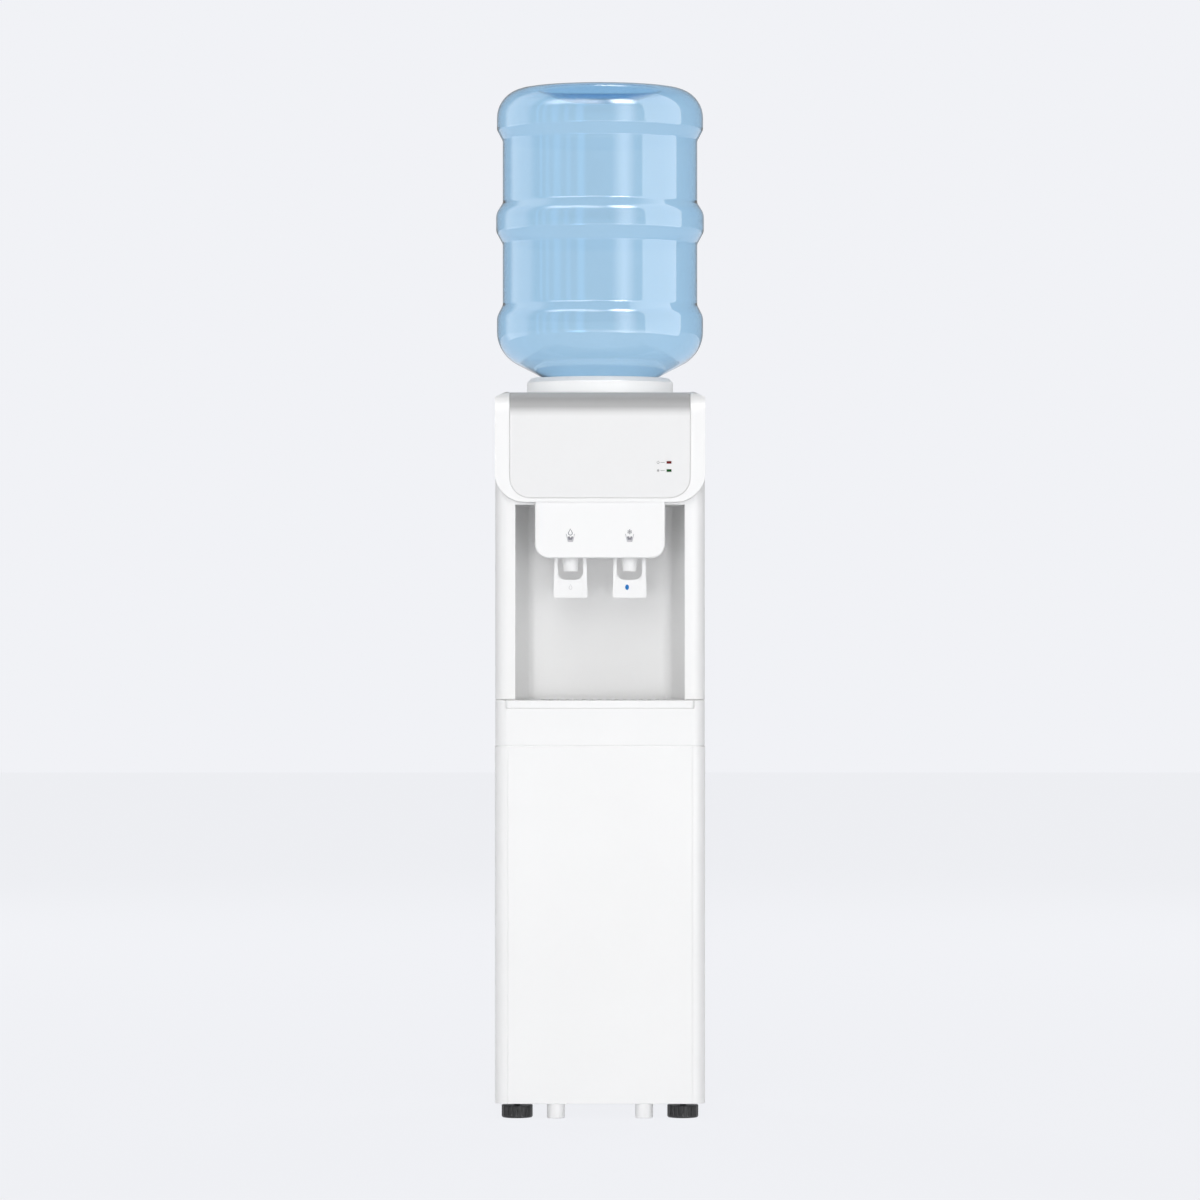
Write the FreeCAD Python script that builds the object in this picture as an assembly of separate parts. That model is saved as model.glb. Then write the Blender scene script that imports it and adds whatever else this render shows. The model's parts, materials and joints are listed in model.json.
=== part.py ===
import FreeCAD, Part
import math
import os

os.makedirs("parts", exist_ok=True)

# ---------------------------------------------------------------------------
# A free-standing water cooler with an inverted bottle on top.
# Millimetres. X to the viewer's right, Y to the back, Z up. The origin is on
# the floor, under the middle of the bottle.
# ---------------------------------------------------------------------------

# Cabinet
half_width = 135.0
front_y = -155.0
back_y = 138.0
rear_limit_y = 155.0
corner_r = 16.5
rear_corner_r = 3.0
sheet = 1.2
plate_t = 1.5
wall = 3.0
panel_half_width = 118.5
fold_depth = 12.0
cabinet_bottom_z = 19.0
back_bottom_z = 185.0
vent_rows = 3
vent_columns = 7
vent_pitch_x = 22.0
vent_pitch_z = 14.0
vent_z = 205.0
lower_top_z = 477.0
fascia_bottom_z = 478.0
fascia_top_z = 536.6
head_bottom_z = 790.7
head_top_z = 933.0
side_top_z = 921.0
shell_back_y = -95.0
pillar_y = -130.0

# Head
head_corner_r = 38.0
top_bend_r = 28.0
edge_cut_x = 14.3
edge_cut_z = 7.5
panel_w = 231.0
panel_bottom_z = 796.3
panel_corner_r = 26.0
panel_sink = 0.9
panel_t = 2.5
panel_gap = 0.8
lens_x = 88.5
lens_z = {"power_lens": 841.4, "cold_lens": 831.0}
lens_w = 6.2
lens_h = 3.3

# Dispensing alcove and drip tray
alcove_mouth_x = 109.0
alcove_back_x = 93.0
alcove_back_y = 15.0
alcove_corner_r = 14.0
alcove_floor_z = 508.0
tray_x = 105.0
tray_back_y = 6.0
tray_lip_x = 121.0
tray_lip_z = 525.8
tray_bottom_z = 511.0
tray_wall = 2.2
grille_z = 532.0
grille_t = 3.0
grille_slots = 15

# Taps
tap_x = 38.0
tap_y = -122.0
housing_half = 83.5
housing_bottom_z = 719.0
housing_front_y = -149.0
housing_back_y = -48.0
housing_corner_r = 18.0
housing_wall = 2.5
spout_tip_z = 702.0
spout_top_z = 722.0
spout_r = 11.5
spout_tip_r = 9.0
barrel_r = 13.0
barrel_top_z = 752.0
pivot_y = -134.0
pivot_z = 745.0
trunnion_r = 3.0
hinge_gap = 0.05
nipple_z = 741.0

# Levers
lever_bottom_z = 667.5
lever_half_bottom = 22.0
lever_half_top = 20.5
lever_gap_half = 16.3
lever_gap_bottom_z = 691.0
lever_front_y = -122.0
lever_t = 6.0
lever_dish = 1.2
fork_z = 760.0
fork_t = 3.0
dot_z = 681.5
dot_offset = 3.1
dot_w = 4.8
dot_h = 7.0
dot_t = 0.6

# Water tank, seat and bottle
tank_r = 90.0
tank_floor_z = 803.0
tank_top_z = 915.0
tank_wall = 1.0
foam_r = 118.0
foam_bottom_z = 796.0
outlet_y = -60.0
outlet_r = 5.0
outlet_bore = 4.0
hose_r = 6.8
shelf_z = 794.0
collar_r = 95.5
collar_top_z = 955.0
bottle_r = 127.3
bottle_bulge_r = 134.9
bottle_rib_r = 136.0
bottle_top_z = 1336.0
bottle_hollow = 16.0
bottle_wall = 1.8
neck_r = 27.5
neck_end_z = 872.0
seat_slope = 0.52
shoulder_z = 959.2
shoulder_r = 80.6
seat_gap = 0.4
cup_r = 36.0
cup_z = 862.0
spike_bore = 5.5

# Cooling circuit
coil_r = 93.3
coil_tube = 3.0
coil_pitch = 10.0
coil_turns = 8
coil_start_z = 813.0
compressor_y = 50.0
compressor_r = 68.0
compressor_bottom_z = 45.0
compressor_top_z = 195.0
condenser_y = 150.5
condenser_half = 92.0
condenser_top_z = 804.0
condenser_pitch = 36.0
condenser_runs = 15
condenser_tube_r = 2.5
wire_r = 0.8
wire_count = 25
wire_pitch = 7.5
lead_x = 112.0
lead_y = 113.0
lead_end_y = 126.0
stub_x = 30.0
stub_y = 75.0
stub_top_z = 207.0
drier_top_z = 284.0
drier_bottom_z = 214.0
foot_plate_z = 41.0
foot_plate_t = 3.0
grommet_neck_r = 7.0
grommet_top_z = 48.0
bolt_r = 4.0

# Controls and sockets at the back
drain_x = -95.0
drain_z = 219.0
dial_x = 70.0
dial_z = 857.0
dial_shaft_r = 3.0
switch_x = -70.0
switch_z = 858.0
switch_axis_y = 134.5
inlet_x = 100.0
inlet_z = 220.0

# Feet
foot_x = 106.5
foot_y = -128.0
foot_r = 20.0
foot_h = 16.0
stud_r = 4.0
glide_x = 56.6
glide_y = -141.0
glide_r = 11.5
glide_plug_y = -127.0
glide_plug_r = 6.0
rear_foot_y = 120.0

# Worked out from the sizes above
lens_back_y = front_y + panel_sink + panel_t + wall
valve_seat_z = spout_top_z + 5.0
stem_head_z = fork_z + fork_t + 0.3
outlets = {"ambient": (-tap_x, outlet_y), "cold": (tap_x, outlet_y), "drain": (0.0, -outlet_y)}
coil_top_z = coil_start_z + coil_pitch * coil_turns
condenser_bottom_z = condenser_top_z - condenser_pitch * (condenser_runs - 1)
base_floor_z = cabinet_bottom_z + 1.0
base_top_z = base_floor_z + plate_t
grommet_places = [(x, compressor_y + y) for x in (-80.0, 80.0) for y in (-45.0, 45.0)]


def vec(x, y, z):
    return FreeCAD.Vector(x, y, z)


def box(x0, x1, y0, y1, z0, z1):
    return Part.makeBox(x1 - x0, y1 - y0, z1 - z0, vec(x0, y0, z0))


def post(radius, x, y, z0, z1):
    """An upright round bar."""
    return Part.makeCylinder(radius, z1 - z0, vec(x, y, z0))


def bar_x(radius, x0, x1, y, z):
    """A round bar along X."""
    return Part.makeCylinder(radius, x1 - x0, vec(x0, y, z), vec(1, 0, 0))


def bar_y(radius, x, y0, y1, z):
    """A round bar along Y."""
    return Part.makeCylinder(radius, y1 - y0, vec(x, y0, z), vec(0, 1, 0))


def fuse(first, *others):
    return first.multiFuse(list(others)).removeSplitter()


def mirror_x(shape):
    return shape.mirror(vec(0, 0, 0), vec(1, 0, 0))


def corner_arc(before, corner, after, radius):
    """Start, middle and end of the arc that rounds a corner."""
    toward = (before - corner).normalize()
    away = (after - corner).normalize()
    half = toward.getAngle(away) / 2
    reach = radius / math.tan(half)
    bisector = (toward + away).normalize()
    middle = corner + bisector * (radius / math.sin(half) - radius)
    return corner + toward * reach, middle, corner + away * reach


def rounded_edges(points, radii, closed):
    """Straight edges and tangent arcs through points; a radius of 0 is a sharp corner."""
    count = len(points)
    stops = []
    for i, point in enumerate(points):
        end = not closed and i in (0, count - 1)
        if radii[i] == 0 or end:
            stops.append((point, None, point))
        else:
            stops.append(corner_arc(points[i - 1], point, points[(i + 1) % count], radii[i]))
    edges = []
    for i, (start, middle, end) in enumerate(stops):
        if middle is not None:
            edges.append(Part.Arc(start, middle, end).toShape())
        if closed or i < count - 1:
            following = stops[(i + 1) % count][0]
            if (following - end).Length > 1e-6:
                edges.append(Part.LineSegment(end, following).toShape())
    return edges


def outline(points, radii):
    return Part.Face(Part.Wire(rounded_edges(points, radii, True)))


def plan(corners, z0, z1):
    """A prism over an outline seen from above; corners are (x, y, radius)."""
    points = [vec(x, y, z0) for x, y, r in corners]
    return outline(points, [r for x, y, r in corners]).extrude(vec(0, 0, z1 - z0))


def front(corners, y0, y1):
    """A prism over an outline seen from the front; corners are (x, z, radius)."""
    points = [vec(x, y0, z) for x, z, r in corners]
    return outline(points, [r for x, z, r in corners]).extrude(vec(0, y1 - y0, 0))


def side(corners, x0, x1):
    """A prism over an outline seen from the side; corners are (y, z, radius)."""
    points = [vec(x0, y, z) for y, z, r in corners]
    return outline(points, [r for y, z, r in corners]).extrude(vec(x1 - x0, 0, 0))


def turned(corners, x=0.0, y=0.0):
    """A solid of revolution about an upright axis; corners are (radius, z, rounding)."""
    points = [vec(x + radius, y, z) for radius, z, r in corners]
    face = outline(points, [r for radius, z, r in corners])
    return face.revolve(vec(x, y, 0), vec(0, 0, 1), 360)


def tube(points, bends, outer, inner=0.0):
    """A round tube along straight runs joined by tangent arcs."""
    points = [vec(*point) for point in points]
    path = Part.Wire(rounded_edges(points, [0] + bends + [0], False))
    run = (points[1] - points[0]).normalize()

    def sweep(radius):
        ring = Part.Wire(Part.makeCircle(radius, points[0], run))
        return path.makePipeShell([ring], True, False)

    shape = sweep(outer)
    if inner:
        shape = shape.cut(sweep(inner))
    return shape


def save(name, shape):
    shape.exportStep("parts/" + name + ".step")


# ---------------------------------------------------------------------------
# Cabinet
# ---------------------------------------------------------------------------

def side_panel():
    """The left side sheet: a rounded front corner below, a plain edge beside the head."""
    inner = half_width - sheet
    lower = plan([(-panel_half_width, front_y, 0),
                  (-half_width, front_y, corner_r),
                  (-half_width, back_y, rear_corner_r),
                  (-half_width + corner_r, back_y, 0),
                  (-half_width + corner_r, back_y - sheet, 0),
                  (-inner, back_y - sheet, rear_corner_r - sheet),
                  (-inner, front_y + sheet, corner_r - sheet),
                  (-panel_half_width, front_y + sheet, 0)],
                 cabinet_bottom_z, lower_top_z)
    upper = plan([(-half_width, shell_back_y, 0),
                  (-half_width, back_y, rear_corner_r),
                  (-half_width + corner_r, back_y, 0),
                  (-half_width + corner_r, back_y - sheet, 0),
                  (-inner, back_y - sheet, rear_corner_r - sheet),
                  (-inner, shell_back_y, 0)],
                 lower_top_z, side_top_z)
    return fuse(lower, upper)


def lower_front_panel():
    """The front door sheet, with its edges folded back."""
    edge = panel_half_width - 0.3
    rear = front_y + fold_depth
    outer = box(-edge, edge, front_y, rear, cabinet_bottom_z, lower_top_z)
    shell = outer.cut(box(-edge + sheet, edge - sheet, front_y + sheet, rear,
                          cabinet_bottom_z + sheet, lower_top_z - sheet))
    rim = [e for e in shell.Edges if all(abs(v.Y - front_y) < 0.01 for v in e.Vertexes)]
    return shell.makeFillet(1.0, rim)


def base_plate():
    """The folded tray under the compressor, with holes for the feet and the front stubs."""
    inner = half_width - sheet
    front_edge = front_y + fold_depth
    height = 16.0

    def tray(grow, z0, z1):
        return plan([(-inner + grow, front_edge + grow, 6.0 - grow),
                     (inner - grow, front_edge + grow, 6.0 - grow),
                     (inner - grow, back_y - sheet - grow, 2.0),
                     (-inner + grow, back_y - sheet - grow, 2.0)], z0, z1)

    shape = tray(0, base_floor_z, base_floor_z + height)
    shape = shape.cut(tray(plate_t, base_top_z, base_floor_z + height))
    for sign in (-1, 1):
        shape = shape.cut(post(stud_r + 0.3, sign * foot_x, foot_y, base_floor_z, base_top_z))
        shape = shape.cut(post(glide_plug_r, sign * glide_x, glide_plug_y, base_floor_z, base_top_z))
        shape = shape.cut(post(stud_r, sign * foot_x, rear_foot_y, base_floor_z, base_top_z))
    return shape


def back_panel():
    """The rear sheet, with air slots, the condenser lead holes and the control cut-outs."""
    edge = half_width - corner_r - 0.2
    near, far = back_y - 5, back_y + 5
    shape = box(-edge, edge, back_y - sheet, back_y, back_bottom_z, side_top_z)
    for x, z in ((lead_x, condenser_top_z), (-lead_x, condenser_bottom_z)):
        shape = shape.cut(bar_y(4.5, x, near, far, z))
    for row in range(vent_rows):
        for column in range(vent_columns):
            x = (column - (vent_columns - 1) / 2) * vent_pitch_x
            z = vent_z + row * vent_pitch_z
            shape = shape.cut(box(x - 8.0, x + 8.0, near, far, z - 2.0, z + 2.0))
    shape = shape.cut(box(switch_x - 11.5, switch_x + 11.5, near, far, switch_z - 16.0, switch_z + 16.0))
    shape = shape.cut(bar_y(6.0, dial_x, near, far, dial_z))
    shape = shape.cut(box(inlet_x - 16.0, inlet_x + 16.0, near, far, inlet_z - 12.0, inlet_z + 12.0))
    return shape.cut(bar_y(9.0, drain_x, near, far, drain_z))


def top_cover():
    """The flat lid behind the head, with cut edges along both sides and the bottle opening."""
    def block(drop):
        half = half_width - drop
        top = head_top_z - drop
        return front([(-half, side_top_z, 0),
                      (-half, top - edge_cut_z, 1.5),
                      (-half + edge_cut_x, top, 1.5),
                      (half - edge_cut_x, top, 1.5),
                      (half, top - edge_cut_z, 1.5),
                      (half, side_top_z, 0)], shell_back_y + 0.4, back_y)

    cavity = block(wall).common(box(-200, 200, shell_back_y, back_y - wall, 0, 1000))
    shape = block(0).cut(cavity)
    return shape.cut(post(collar_r + 0.6, 0, 0, side_top_z, head_top_z + 1))


# ---------------------------------------------------------------------------
# Head
# ---------------------------------------------------------------------------

def head_block(drop, y0, y1):
    """The head's outline seen from the front, drawn in by a distance on every side."""
    half = half_width - drop
    top = head_top_z - drop
    low = head_bottom_z + drop
    return front([(-half, low, head_corner_r - drop),
                  (half, low, head_corner_r - drop),
                  (half, top - edge_cut_z, 2.5),
                  (half - edge_cut_x, top, 2.5),
                  (-half + edge_cut_x, top, 2.5),
                  (-half, top - edge_cut_z, 2.5)], y0, y1)


def side_curve(drop, x0, x1, y1, z0):
    """A block with a round top front edge, drawn in by a distance."""
    return side([(front_y + drop, z0, 0),
                 (y1, z0, 0),
                 (y1, head_top_z - drop, 0),
                 (front_y + drop, head_top_z - drop, top_bend_r - drop)], x0, x1)


def panel_block(grow, drop, depth):
    """The front panel's space: a band that runs up the front and over the round top edge."""
    half = panel_w / 2 + grow
    low = panel_bottom_z - grow
    face = front([(-half, low, panel_corner_r + grow),
                  (half, low, panel_corner_r + grow),
                  (half, head_top_z + 5, 0),
                  (-half, head_top_z + 5, 0)], front_y - 5, shell_back_y - 2.0)
    band = side_curve(drop, -half, half, shell_back_y - 2.0, low)
    core = side_curve(drop + depth, -half, half, shell_back_y - 2.0, low - 50.0)
    return face.common(band).cut(core)


def head_shell():
    """The white shell round the panel, open at the back and over the tap housing."""
    outer = head_block(0, front_y, shell_back_y)
    outer = outer.common(side_curve(0, -200, 200, shell_back_y, 700.0))
    inner_drop = panel_sink + panel_t + wall
    inner = head_block(wall, front_y, shell_back_y)
    inner = inner.common(side_curve(inner_drop, -200, 200, shell_back_y, 700.0))
    shape = outer.cut(inner)
    shape = shape.cut(panel_block(panel_gap, -6.0, 6.0 + panel_sink + panel_t))
    throat = box(-75.0, 75.0, housing_front_y + 8.0, shell_back_y,
                 head_bottom_z - 1, head_bottom_z + wall + 1)
    shape = shape.cut(throat).cut(post(collar_r + 0.6, 0, 0, side_top_z, head_top_z + 1))
    return cut_lens_windows(shape)


def front_panel():
    """The silver panel, which bends over the top edge of the head."""
    return cut_lens_windows(panel_block(0, panel_sink, panel_t))


def cut_lens_windows(shape):
    for z in lens_z.values():
        shape = shape.cut(box(lens_x - lens_w / 2, lens_x + lens_w / 2, front_y, front_y + 15.0,
                              z - lens_h / 2, z + lens_h / 2))
    return shape


def indicator_lens(z):
    """A clear window flush with the panel, which runs back to the lamp."""
    return box(lens_x - lens_w / 2, lens_x + lens_w / 2, front_y + panel_sink - 0.2, lens_back_y,
               z - lens_h / 2, z + lens_h / 2)


def indicator_board():
    """A small circuit board with one lamp behind each lens and two screw posts."""
    board_y = lens_back_y + 3.0
    parts = [bar_y(2.5, lens_x - 12.0, lens_back_y, board_y, z) for z in (822.0, 850.0)]
    for z in lens_z.values():
        parts.append(box(lens_x - 2.5, lens_x + 2.5, lens_back_y, board_y, z - 1.5, z + 1.5))
    parts.append(box(lens_x + 6.0, lens_x + 14.0, board_y + 1.6, board_y + 8.0, 832.0, 846.0))
    return fuse(box(lens_x - 18.0, lens_x + 16.0, board_y, board_y + 1.6, 815.0, 857.0), *parts)


# ---------------------------------------------------------------------------
# Dispensing alcove, drip tray and fascia
# ---------------------------------------------------------------------------

def alcove_liner():
    """One moulding: both pillars, the drawn-in side walls, the back wall, floor and ceiling."""
    def recess(shrink, y0, z0, z1):
        return plan([(-alcove_mouth_x - shrink, y0, 0),
                     (-alcove_mouth_x - shrink, pillar_y + 22.0, 10.0),
                     (-alcove_back_x - shrink, alcove_back_y + shrink, alcove_corner_r + shrink),
                     (alcove_back_x + shrink, alcove_back_y + shrink, alcove_corner_r + shrink),
                     (alcove_mouth_x + shrink, pillar_y + 22.0, 10.0),
                     (alcove_mouth_x + shrink, y0, 0)], z0, z1)

    pillars = plan([(-half_width, shell_back_y, 0),
                    (-half_width, pillar_y, corner_r),
                    (half_width, pillar_y, corner_r),
                    (half_width, shell_back_y, 0)], fascia_top_z + 0.4, head_bottom_z + 60.0)
    hollow = plan([(-half_width + wall, shell_back_y, 0),
                   (-half_width + wall, pillar_y + wall, corner_r - wall),
                   (half_width - wall, pillar_y + wall, corner_r - wall),
                   (half_width - wall, shell_back_y, 0)], fascia_top_z, head_bottom_z + 61.0)
    walls = recess(wall, pillar_y, alcove_floor_z - wall, head_bottom_z)
    shape = pillars.cut(hollow).fuse(walls.cut(box(-200, 200, -200, pillar_y + 0.5, 0, fascia_top_z + 0.4)))
    shape = shape.cut(recess(0, pillar_y - 30.0, alcove_floor_z, head_bottom_z - wall))
    shape = shape.cut(box(-200, 200, -200, 200, head_bottom_z, 900.0).cut(
        box(-half_width - 1, -half_width + head_corner_r, pillar_y, shell_back_y, 700, 900)).cut(
        box(half_width - head_corner_r, half_width + 1, pillar_y, shell_back_y, 700, 900)))
    shape = shape.cut(head_block(-0.2, -200.0, 200.0))
    gap = 0.3
    shape = shape.cut(box(-housing_half - gap, housing_half + gap, -200.0, housing_back_y + gap,
                          head_bottom_z - wall - 1, head_bottom_z + 1))
    return shape.removeSplitter()


def tray_fascia():
    """The front moulding under the alcove, with a recess that takes the drip tray's lip."""
    def ring(drop, z0, z1):
        return plan([(-half_width + 0.5 + drop, shell_back_y, 0),
                     (-half_width + 0.5 + drop, front_y + drop, corner_r - drop),
                     (half_width - 0.5 - drop, front_y + drop, corner_r - drop),
                     (half_width - 0.5 - drop, shell_back_y, 0)], z0, z1)

    outer = ring(0, fascia_bottom_z, fascia_top_z)
    edges = [e for e in outer.Edges
             if all(abs(v.Z - fascia_top_z) < 0.01 or abs(v.Z - fascia_bottom_z) < 0.01 for v in e.Vertexes)
             and all(v.Y < shell_back_y - 1 for v in e.Vertexes)]
    shape = outer.makeFillet(1.5, edges).cut(ring(wall, fascia_bottom_z - 1, fascia_top_z - wall))
    lip = tray_lip_x + 0.6
    shape = shape.cut(box(-lip, lip, front_y - 1, pillar_y, tray_lip_z - 0.6, fascia_top_z + 1))
    inner = alcove_mouth_x + wall + 0.4
    shape = shape.cut(box(-inner, inner, front_y + wall, shell_back_y + 1,
                          tray_bottom_z - 4.0, fascia_top_z + 1))
    ledge = box(-lip - 1.0, lip + 1.0, front_y + wall, pillar_y - 1.0, tray_lip_z - 3.6, tray_lip_z - 0.6)
    ledge = ledge.cut(box(-tray_x - 1.5, tray_x + 1.5, front_y + 8.0, pillar_y, 0, 600.0))
    return fuse(shape, ledge)


def drip_tray():
    """A pull-out pan with a wide front lip."""
    pan_front = front_y + 9.0
    outer = plan([(-tray_x, pan_front, 6.0),
                  (tray_x, pan_front, 6.0),
                  (tray_x, pillar_y + 20.0, 12.0),
                  (alcove_back_x - 3.0, tray_back_y, 12.0),
                  (-alcove_back_x + 3.0, tray_back_y, 12.0),
                  (-tray_x, pillar_y + 20.0, 12.0)], tray_bottom_z + 0.4, fascia_top_z - 0.2)
    inset = tray_x - tray_wall
    rear = alcove_back_x - 3.0 - tray_wall
    inner = plan([(-inset, pan_front + tray_wall, 4.0),
                  (inset, pan_front + tray_wall, 4.0),
                  (inset, pillar_y + 20.0, 11.0),
                  (rear, tray_back_y - tray_wall, 10.0),
                  (-rear, tray_back_y - tray_wall, 10.0),
                  (-inset, pillar_y + 20.0, 11.0)], tray_bottom_z + 0.4 + tray_wall, fascia_top_z)
    lip = plan([(-tray_lip_x, front_y, 4.0),
                (tray_lip_x, front_y, 4.0),
                (tray_lip_x, pillar_y - 1.5, 2.0),
                (-tray_lip_x, pillar_y - 1.5, 2.0)], tray_lip_z, fascia_top_z - 0.2)
    rim = [e for e in lip.Edges
           if all(abs(v.Z - fascia_top_z + 0.2) < 0.01 or abs(v.Z - tray_lip_z) < 0.01 for v in e.Vertexes)
           and any(v.Y < front_y + 4.1 for v in e.Vertexes)]
    lip = lip.makeFillet(1.8, rim)
    return fuse(outer, lip).cut(inner)


def drip_grille():
    """The slotted plate that lies in the tray, on four legs."""
    inset = tray_x - tray_wall - 0.5
    rear = alcove_back_x - 3.5 - tray_wall
    y0 = front_y + 9.0 + tray_wall + 0.5
    y1 = tray_back_y - tray_wall - 0.5
    plate = plan([(-inset, y0, 4.0),
                  (inset, y0, 4.0),
                  (inset, pillar_y + 20.0, 10.0),
                  (rear, y1, 10.0),
                  (-rear, y1, 10.0),
                  (-inset, pillar_y + 20.0, 10.0)], grille_z, grille_z + grille_t)
    pitch = (2 * rear - 14.0) / grille_slots
    for i in range(grille_slots):
        x = -rear + 7.0 + pitch * (i + 0.5)
        for start, end in ((y0 + 10.0, -74.0), (-68.0, y1 - 10.0)):
            plate = plate.cut(plan([(x - 2.6, start, 2.5), (x + 2.6, start, 2.5),
                                    (x + 2.6, end, 2.5), (x - 2.6, end, 2.5)],
                                   grille_z - 1, grille_z + grille_t + 1))
    legs = []
    floor_z = tray_bottom_z + 0.4 + tray_wall + 0.1
    for x in (-rear + 4.0, rear - 4.0):
        for y in (y0 + 6.0, y1 - 14.0):
            legs.append(post(3.0, x, y, floor_z, grille_z))
    return fuse(plate, *legs)


# ---------------------------------------------------------------------------
# Taps and levers
# ---------------------------------------------------------------------------

def tap_housing():
    """The white box that hangs under the head around both taps."""
    def block(drop, top):
        return front([(-housing_half + drop, top, 0),
                      (-housing_half + drop, housing_bottom_z + drop, housing_corner_r - drop),
                      (housing_half - drop, housing_bottom_z + drop, housing_corner_r - drop),
                      (housing_half - drop, top, 0)], housing_front_y + drop, housing_back_y - drop)

    outer = block(0, head_bottom_z)
    rim = [e for e in outer.Edges if all(abs(v.Y - housing_front_y) < 0.01 for v in e.Vertexes)
           and any(v.Z < head_bottom_z - 1 for v in e.Vertexes)]
    shape = outer.makeFillet(2.2, rim).cut(block(housing_wall, head_bottom_z + 1))
    for sign in (-1, 1):
        x = sign * tap_x
        shape = shape.cut(box(x - 24.0, x + 24.0, housing_front_y + 7.0, -100.0,
                              housing_bottom_z - 1, housing_bottom_z + housing_wall + 1))
    return shape


def tap_body(x):
    """Spout, valve barrel, inlet nipple and the two trunnions that carry the lever."""
    spout = Part.makeCone(spout_tip_r, spout_r, spout_top_z - spout_tip_z, vec(x, tap_y, spout_tip_z))
    barrel = post(barrel_r, x, tap_y, spout_top_z, barrel_top_z)
    block = box(x - 12.0, x + 12.0, pivot_y - 5.0, tap_y, pivot_z - 6.0, pivot_z + 6.0)
    trunnions = bar_x(trunnion_r, x - lever_half_top - 1.5, x + lever_half_top + 1.5, pivot_y, pivot_z)
    nipple = bar_y(outlet_r, x, tap_y, -94.0, nipple_z)
    shape = fuse(spout, barrel, block, trunnions, nipple)
    shape = shape.cut(post(9.0, x, tap_y, spout_top_z + 5.0, barrel_top_z + 1))
    shape = shape.cut(post(5.0, x, tap_y, spout_tip_z - 1, spout_top_z + 6.0))
    return shape.cut(bar_y(outlet_bore, x, tap_y, -93.0, nipple_z))


def tap_bonnets():
    """The screw cap on each barrel, with the stem's hole."""
    bonnets = []
    for x in (-tap_x, tap_x):
        bonnet = post(barrel_r, x, tap_y, barrel_top_z, barrel_top_z + 4.0)
        bonnets.append(bonnet.cut(post(2.8, x, tap_y, barrel_top_z - 1, barrel_top_z + 5.0)))
    return Part.makeCompound(bonnets)


def plunger(x):
    """The valve's seal, stem and head."""
    seal = post(7.6, x, tap_y, valve_seat_z + 0.2, valve_seat_z + 5.0)
    stem = post(2.5, x, tap_y, valve_seat_z + 5.0, stem_head_z)
    head = post(6.0, x, tap_y, stem_head_z, stem_head_z + 3.0)
    return fuse(seal, stem, head)


def valve_spring(x):
    """A closing spring round the stem."""
    low = valve_seat_z + 6.2
    high = barrel_top_z - 1.0
    pitch = 3.2
    helix = Part.makeHelix(pitch, high - low, 5.2)
    ring = Part.Wire(Part.makeCircle(0.7, vec(5.2, 0, 0), vec(0, 1, 0)))
    coil = Part.Wire(helix.Edges).makePipeShell([ring], True, True)
    coil.translate(vec(x, tap_y, low))
    return coil


def lever(x):
    """A push paddle on two arms round the spout, with a fork that lifts the valve stem."""
    low = lever_bottom_z
    high = pivot_z + 24.0
    rear = lever_front_y + lever_t
    paddle = front([(x - lever_half_bottom, low, 4.0),
                    (x + lever_half_bottom, low, 4.0),
                    (x + lever_half_top, housing_bottom_z, 0),
                    (x + lever_half_top, high, 0),
                    (x - lever_half_top, high, 0),
                    (x - lever_half_top, housing_bottom_z, 0)], -200.0, 0.0)
    gap = front([(x - lever_gap_half, lever_gap_bottom_z, 10.0),
                 (x + lever_gap_half, lever_gap_bottom_z, 10.0),
                 (x + lever_gap_half, fork_z, 0),
                 (x - lever_gap_half, fork_z, 0)], -200.0, 0.0)
    profile = side([(lever_front_y, low, 1.0),
                    (rear, low, 1.0),
                    (rear, 724.0, 12.0),
                    (pivot_y + 8.0, pivot_z - 3.0, 0),
                    (pivot_y + 20.0, fork_z, 0),
                    (pivot_y + 20.0, fork_z + fork_t, 0),
                    (pivot_y + 2.0, fork_z + fork_t, 1.5),
                    (pivot_y - 6.0, pivot_z + 5.0, 4.0),
                    (pivot_y - 6.0, pivot_z - 6.0, 4.0),
                    (lever_front_y, 716.0, 12.0)],
                   x - 40.0, x + 40.0)
    shape = paddle.common(profile).cut(gap)
    shape = shape.cut(box(x - 3.2, x + 3.2, tap_y - 4.5, pivot_y + 21.0, fork_z - 1, fork_z + fork_t + 1))
    dish = front([(x - lever_half_bottom + 6.0, low + 4.5, 2.0),
                  (x + lever_half_bottom - 6.0, low + 4.5, 2.0),
                  (x + lever_half_bottom - 6.0, lever_gap_bottom_z - 1.5, 2.0),
                  (x - lever_half_bottom + 6.0, lever_gap_bottom_z - 1.5, 2.0)],
                 lever_front_y - 1, lever_front_y + lever_dish)
    shape = shape.cut(dish)
    bore = bar_x(trunnion_r + hinge_gap, x - 30.0, x + 30.0, pivot_y, pivot_z)
    return shape.cut(bore)


def lever_dot(x):
    """The oval coloured insert in a lever's paddle, left of its middle."""
    oval = Part.Ellipse(vec(x - dot_offset, 0, dot_z + dot_h / 2), vec(x - dot_offset + dot_w / 2, 0, dot_z),
                        vec(x - dot_offset, 0, dot_z)).toShape()
    face = Part.Face(Part.Wire(oval))
    face.translate(vec(0, lever_front_y + lever_dish - dot_t, 0))
    return face.extrude(vec(0, dot_t, 0))


# ---------------------------------------------------------------------------
# Bottle and seat
# ---------------------------------------------------------------------------

def shoulder_height(radius):
    return shoulder_z + (radius - shoulder_r) * seat_slope


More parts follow.
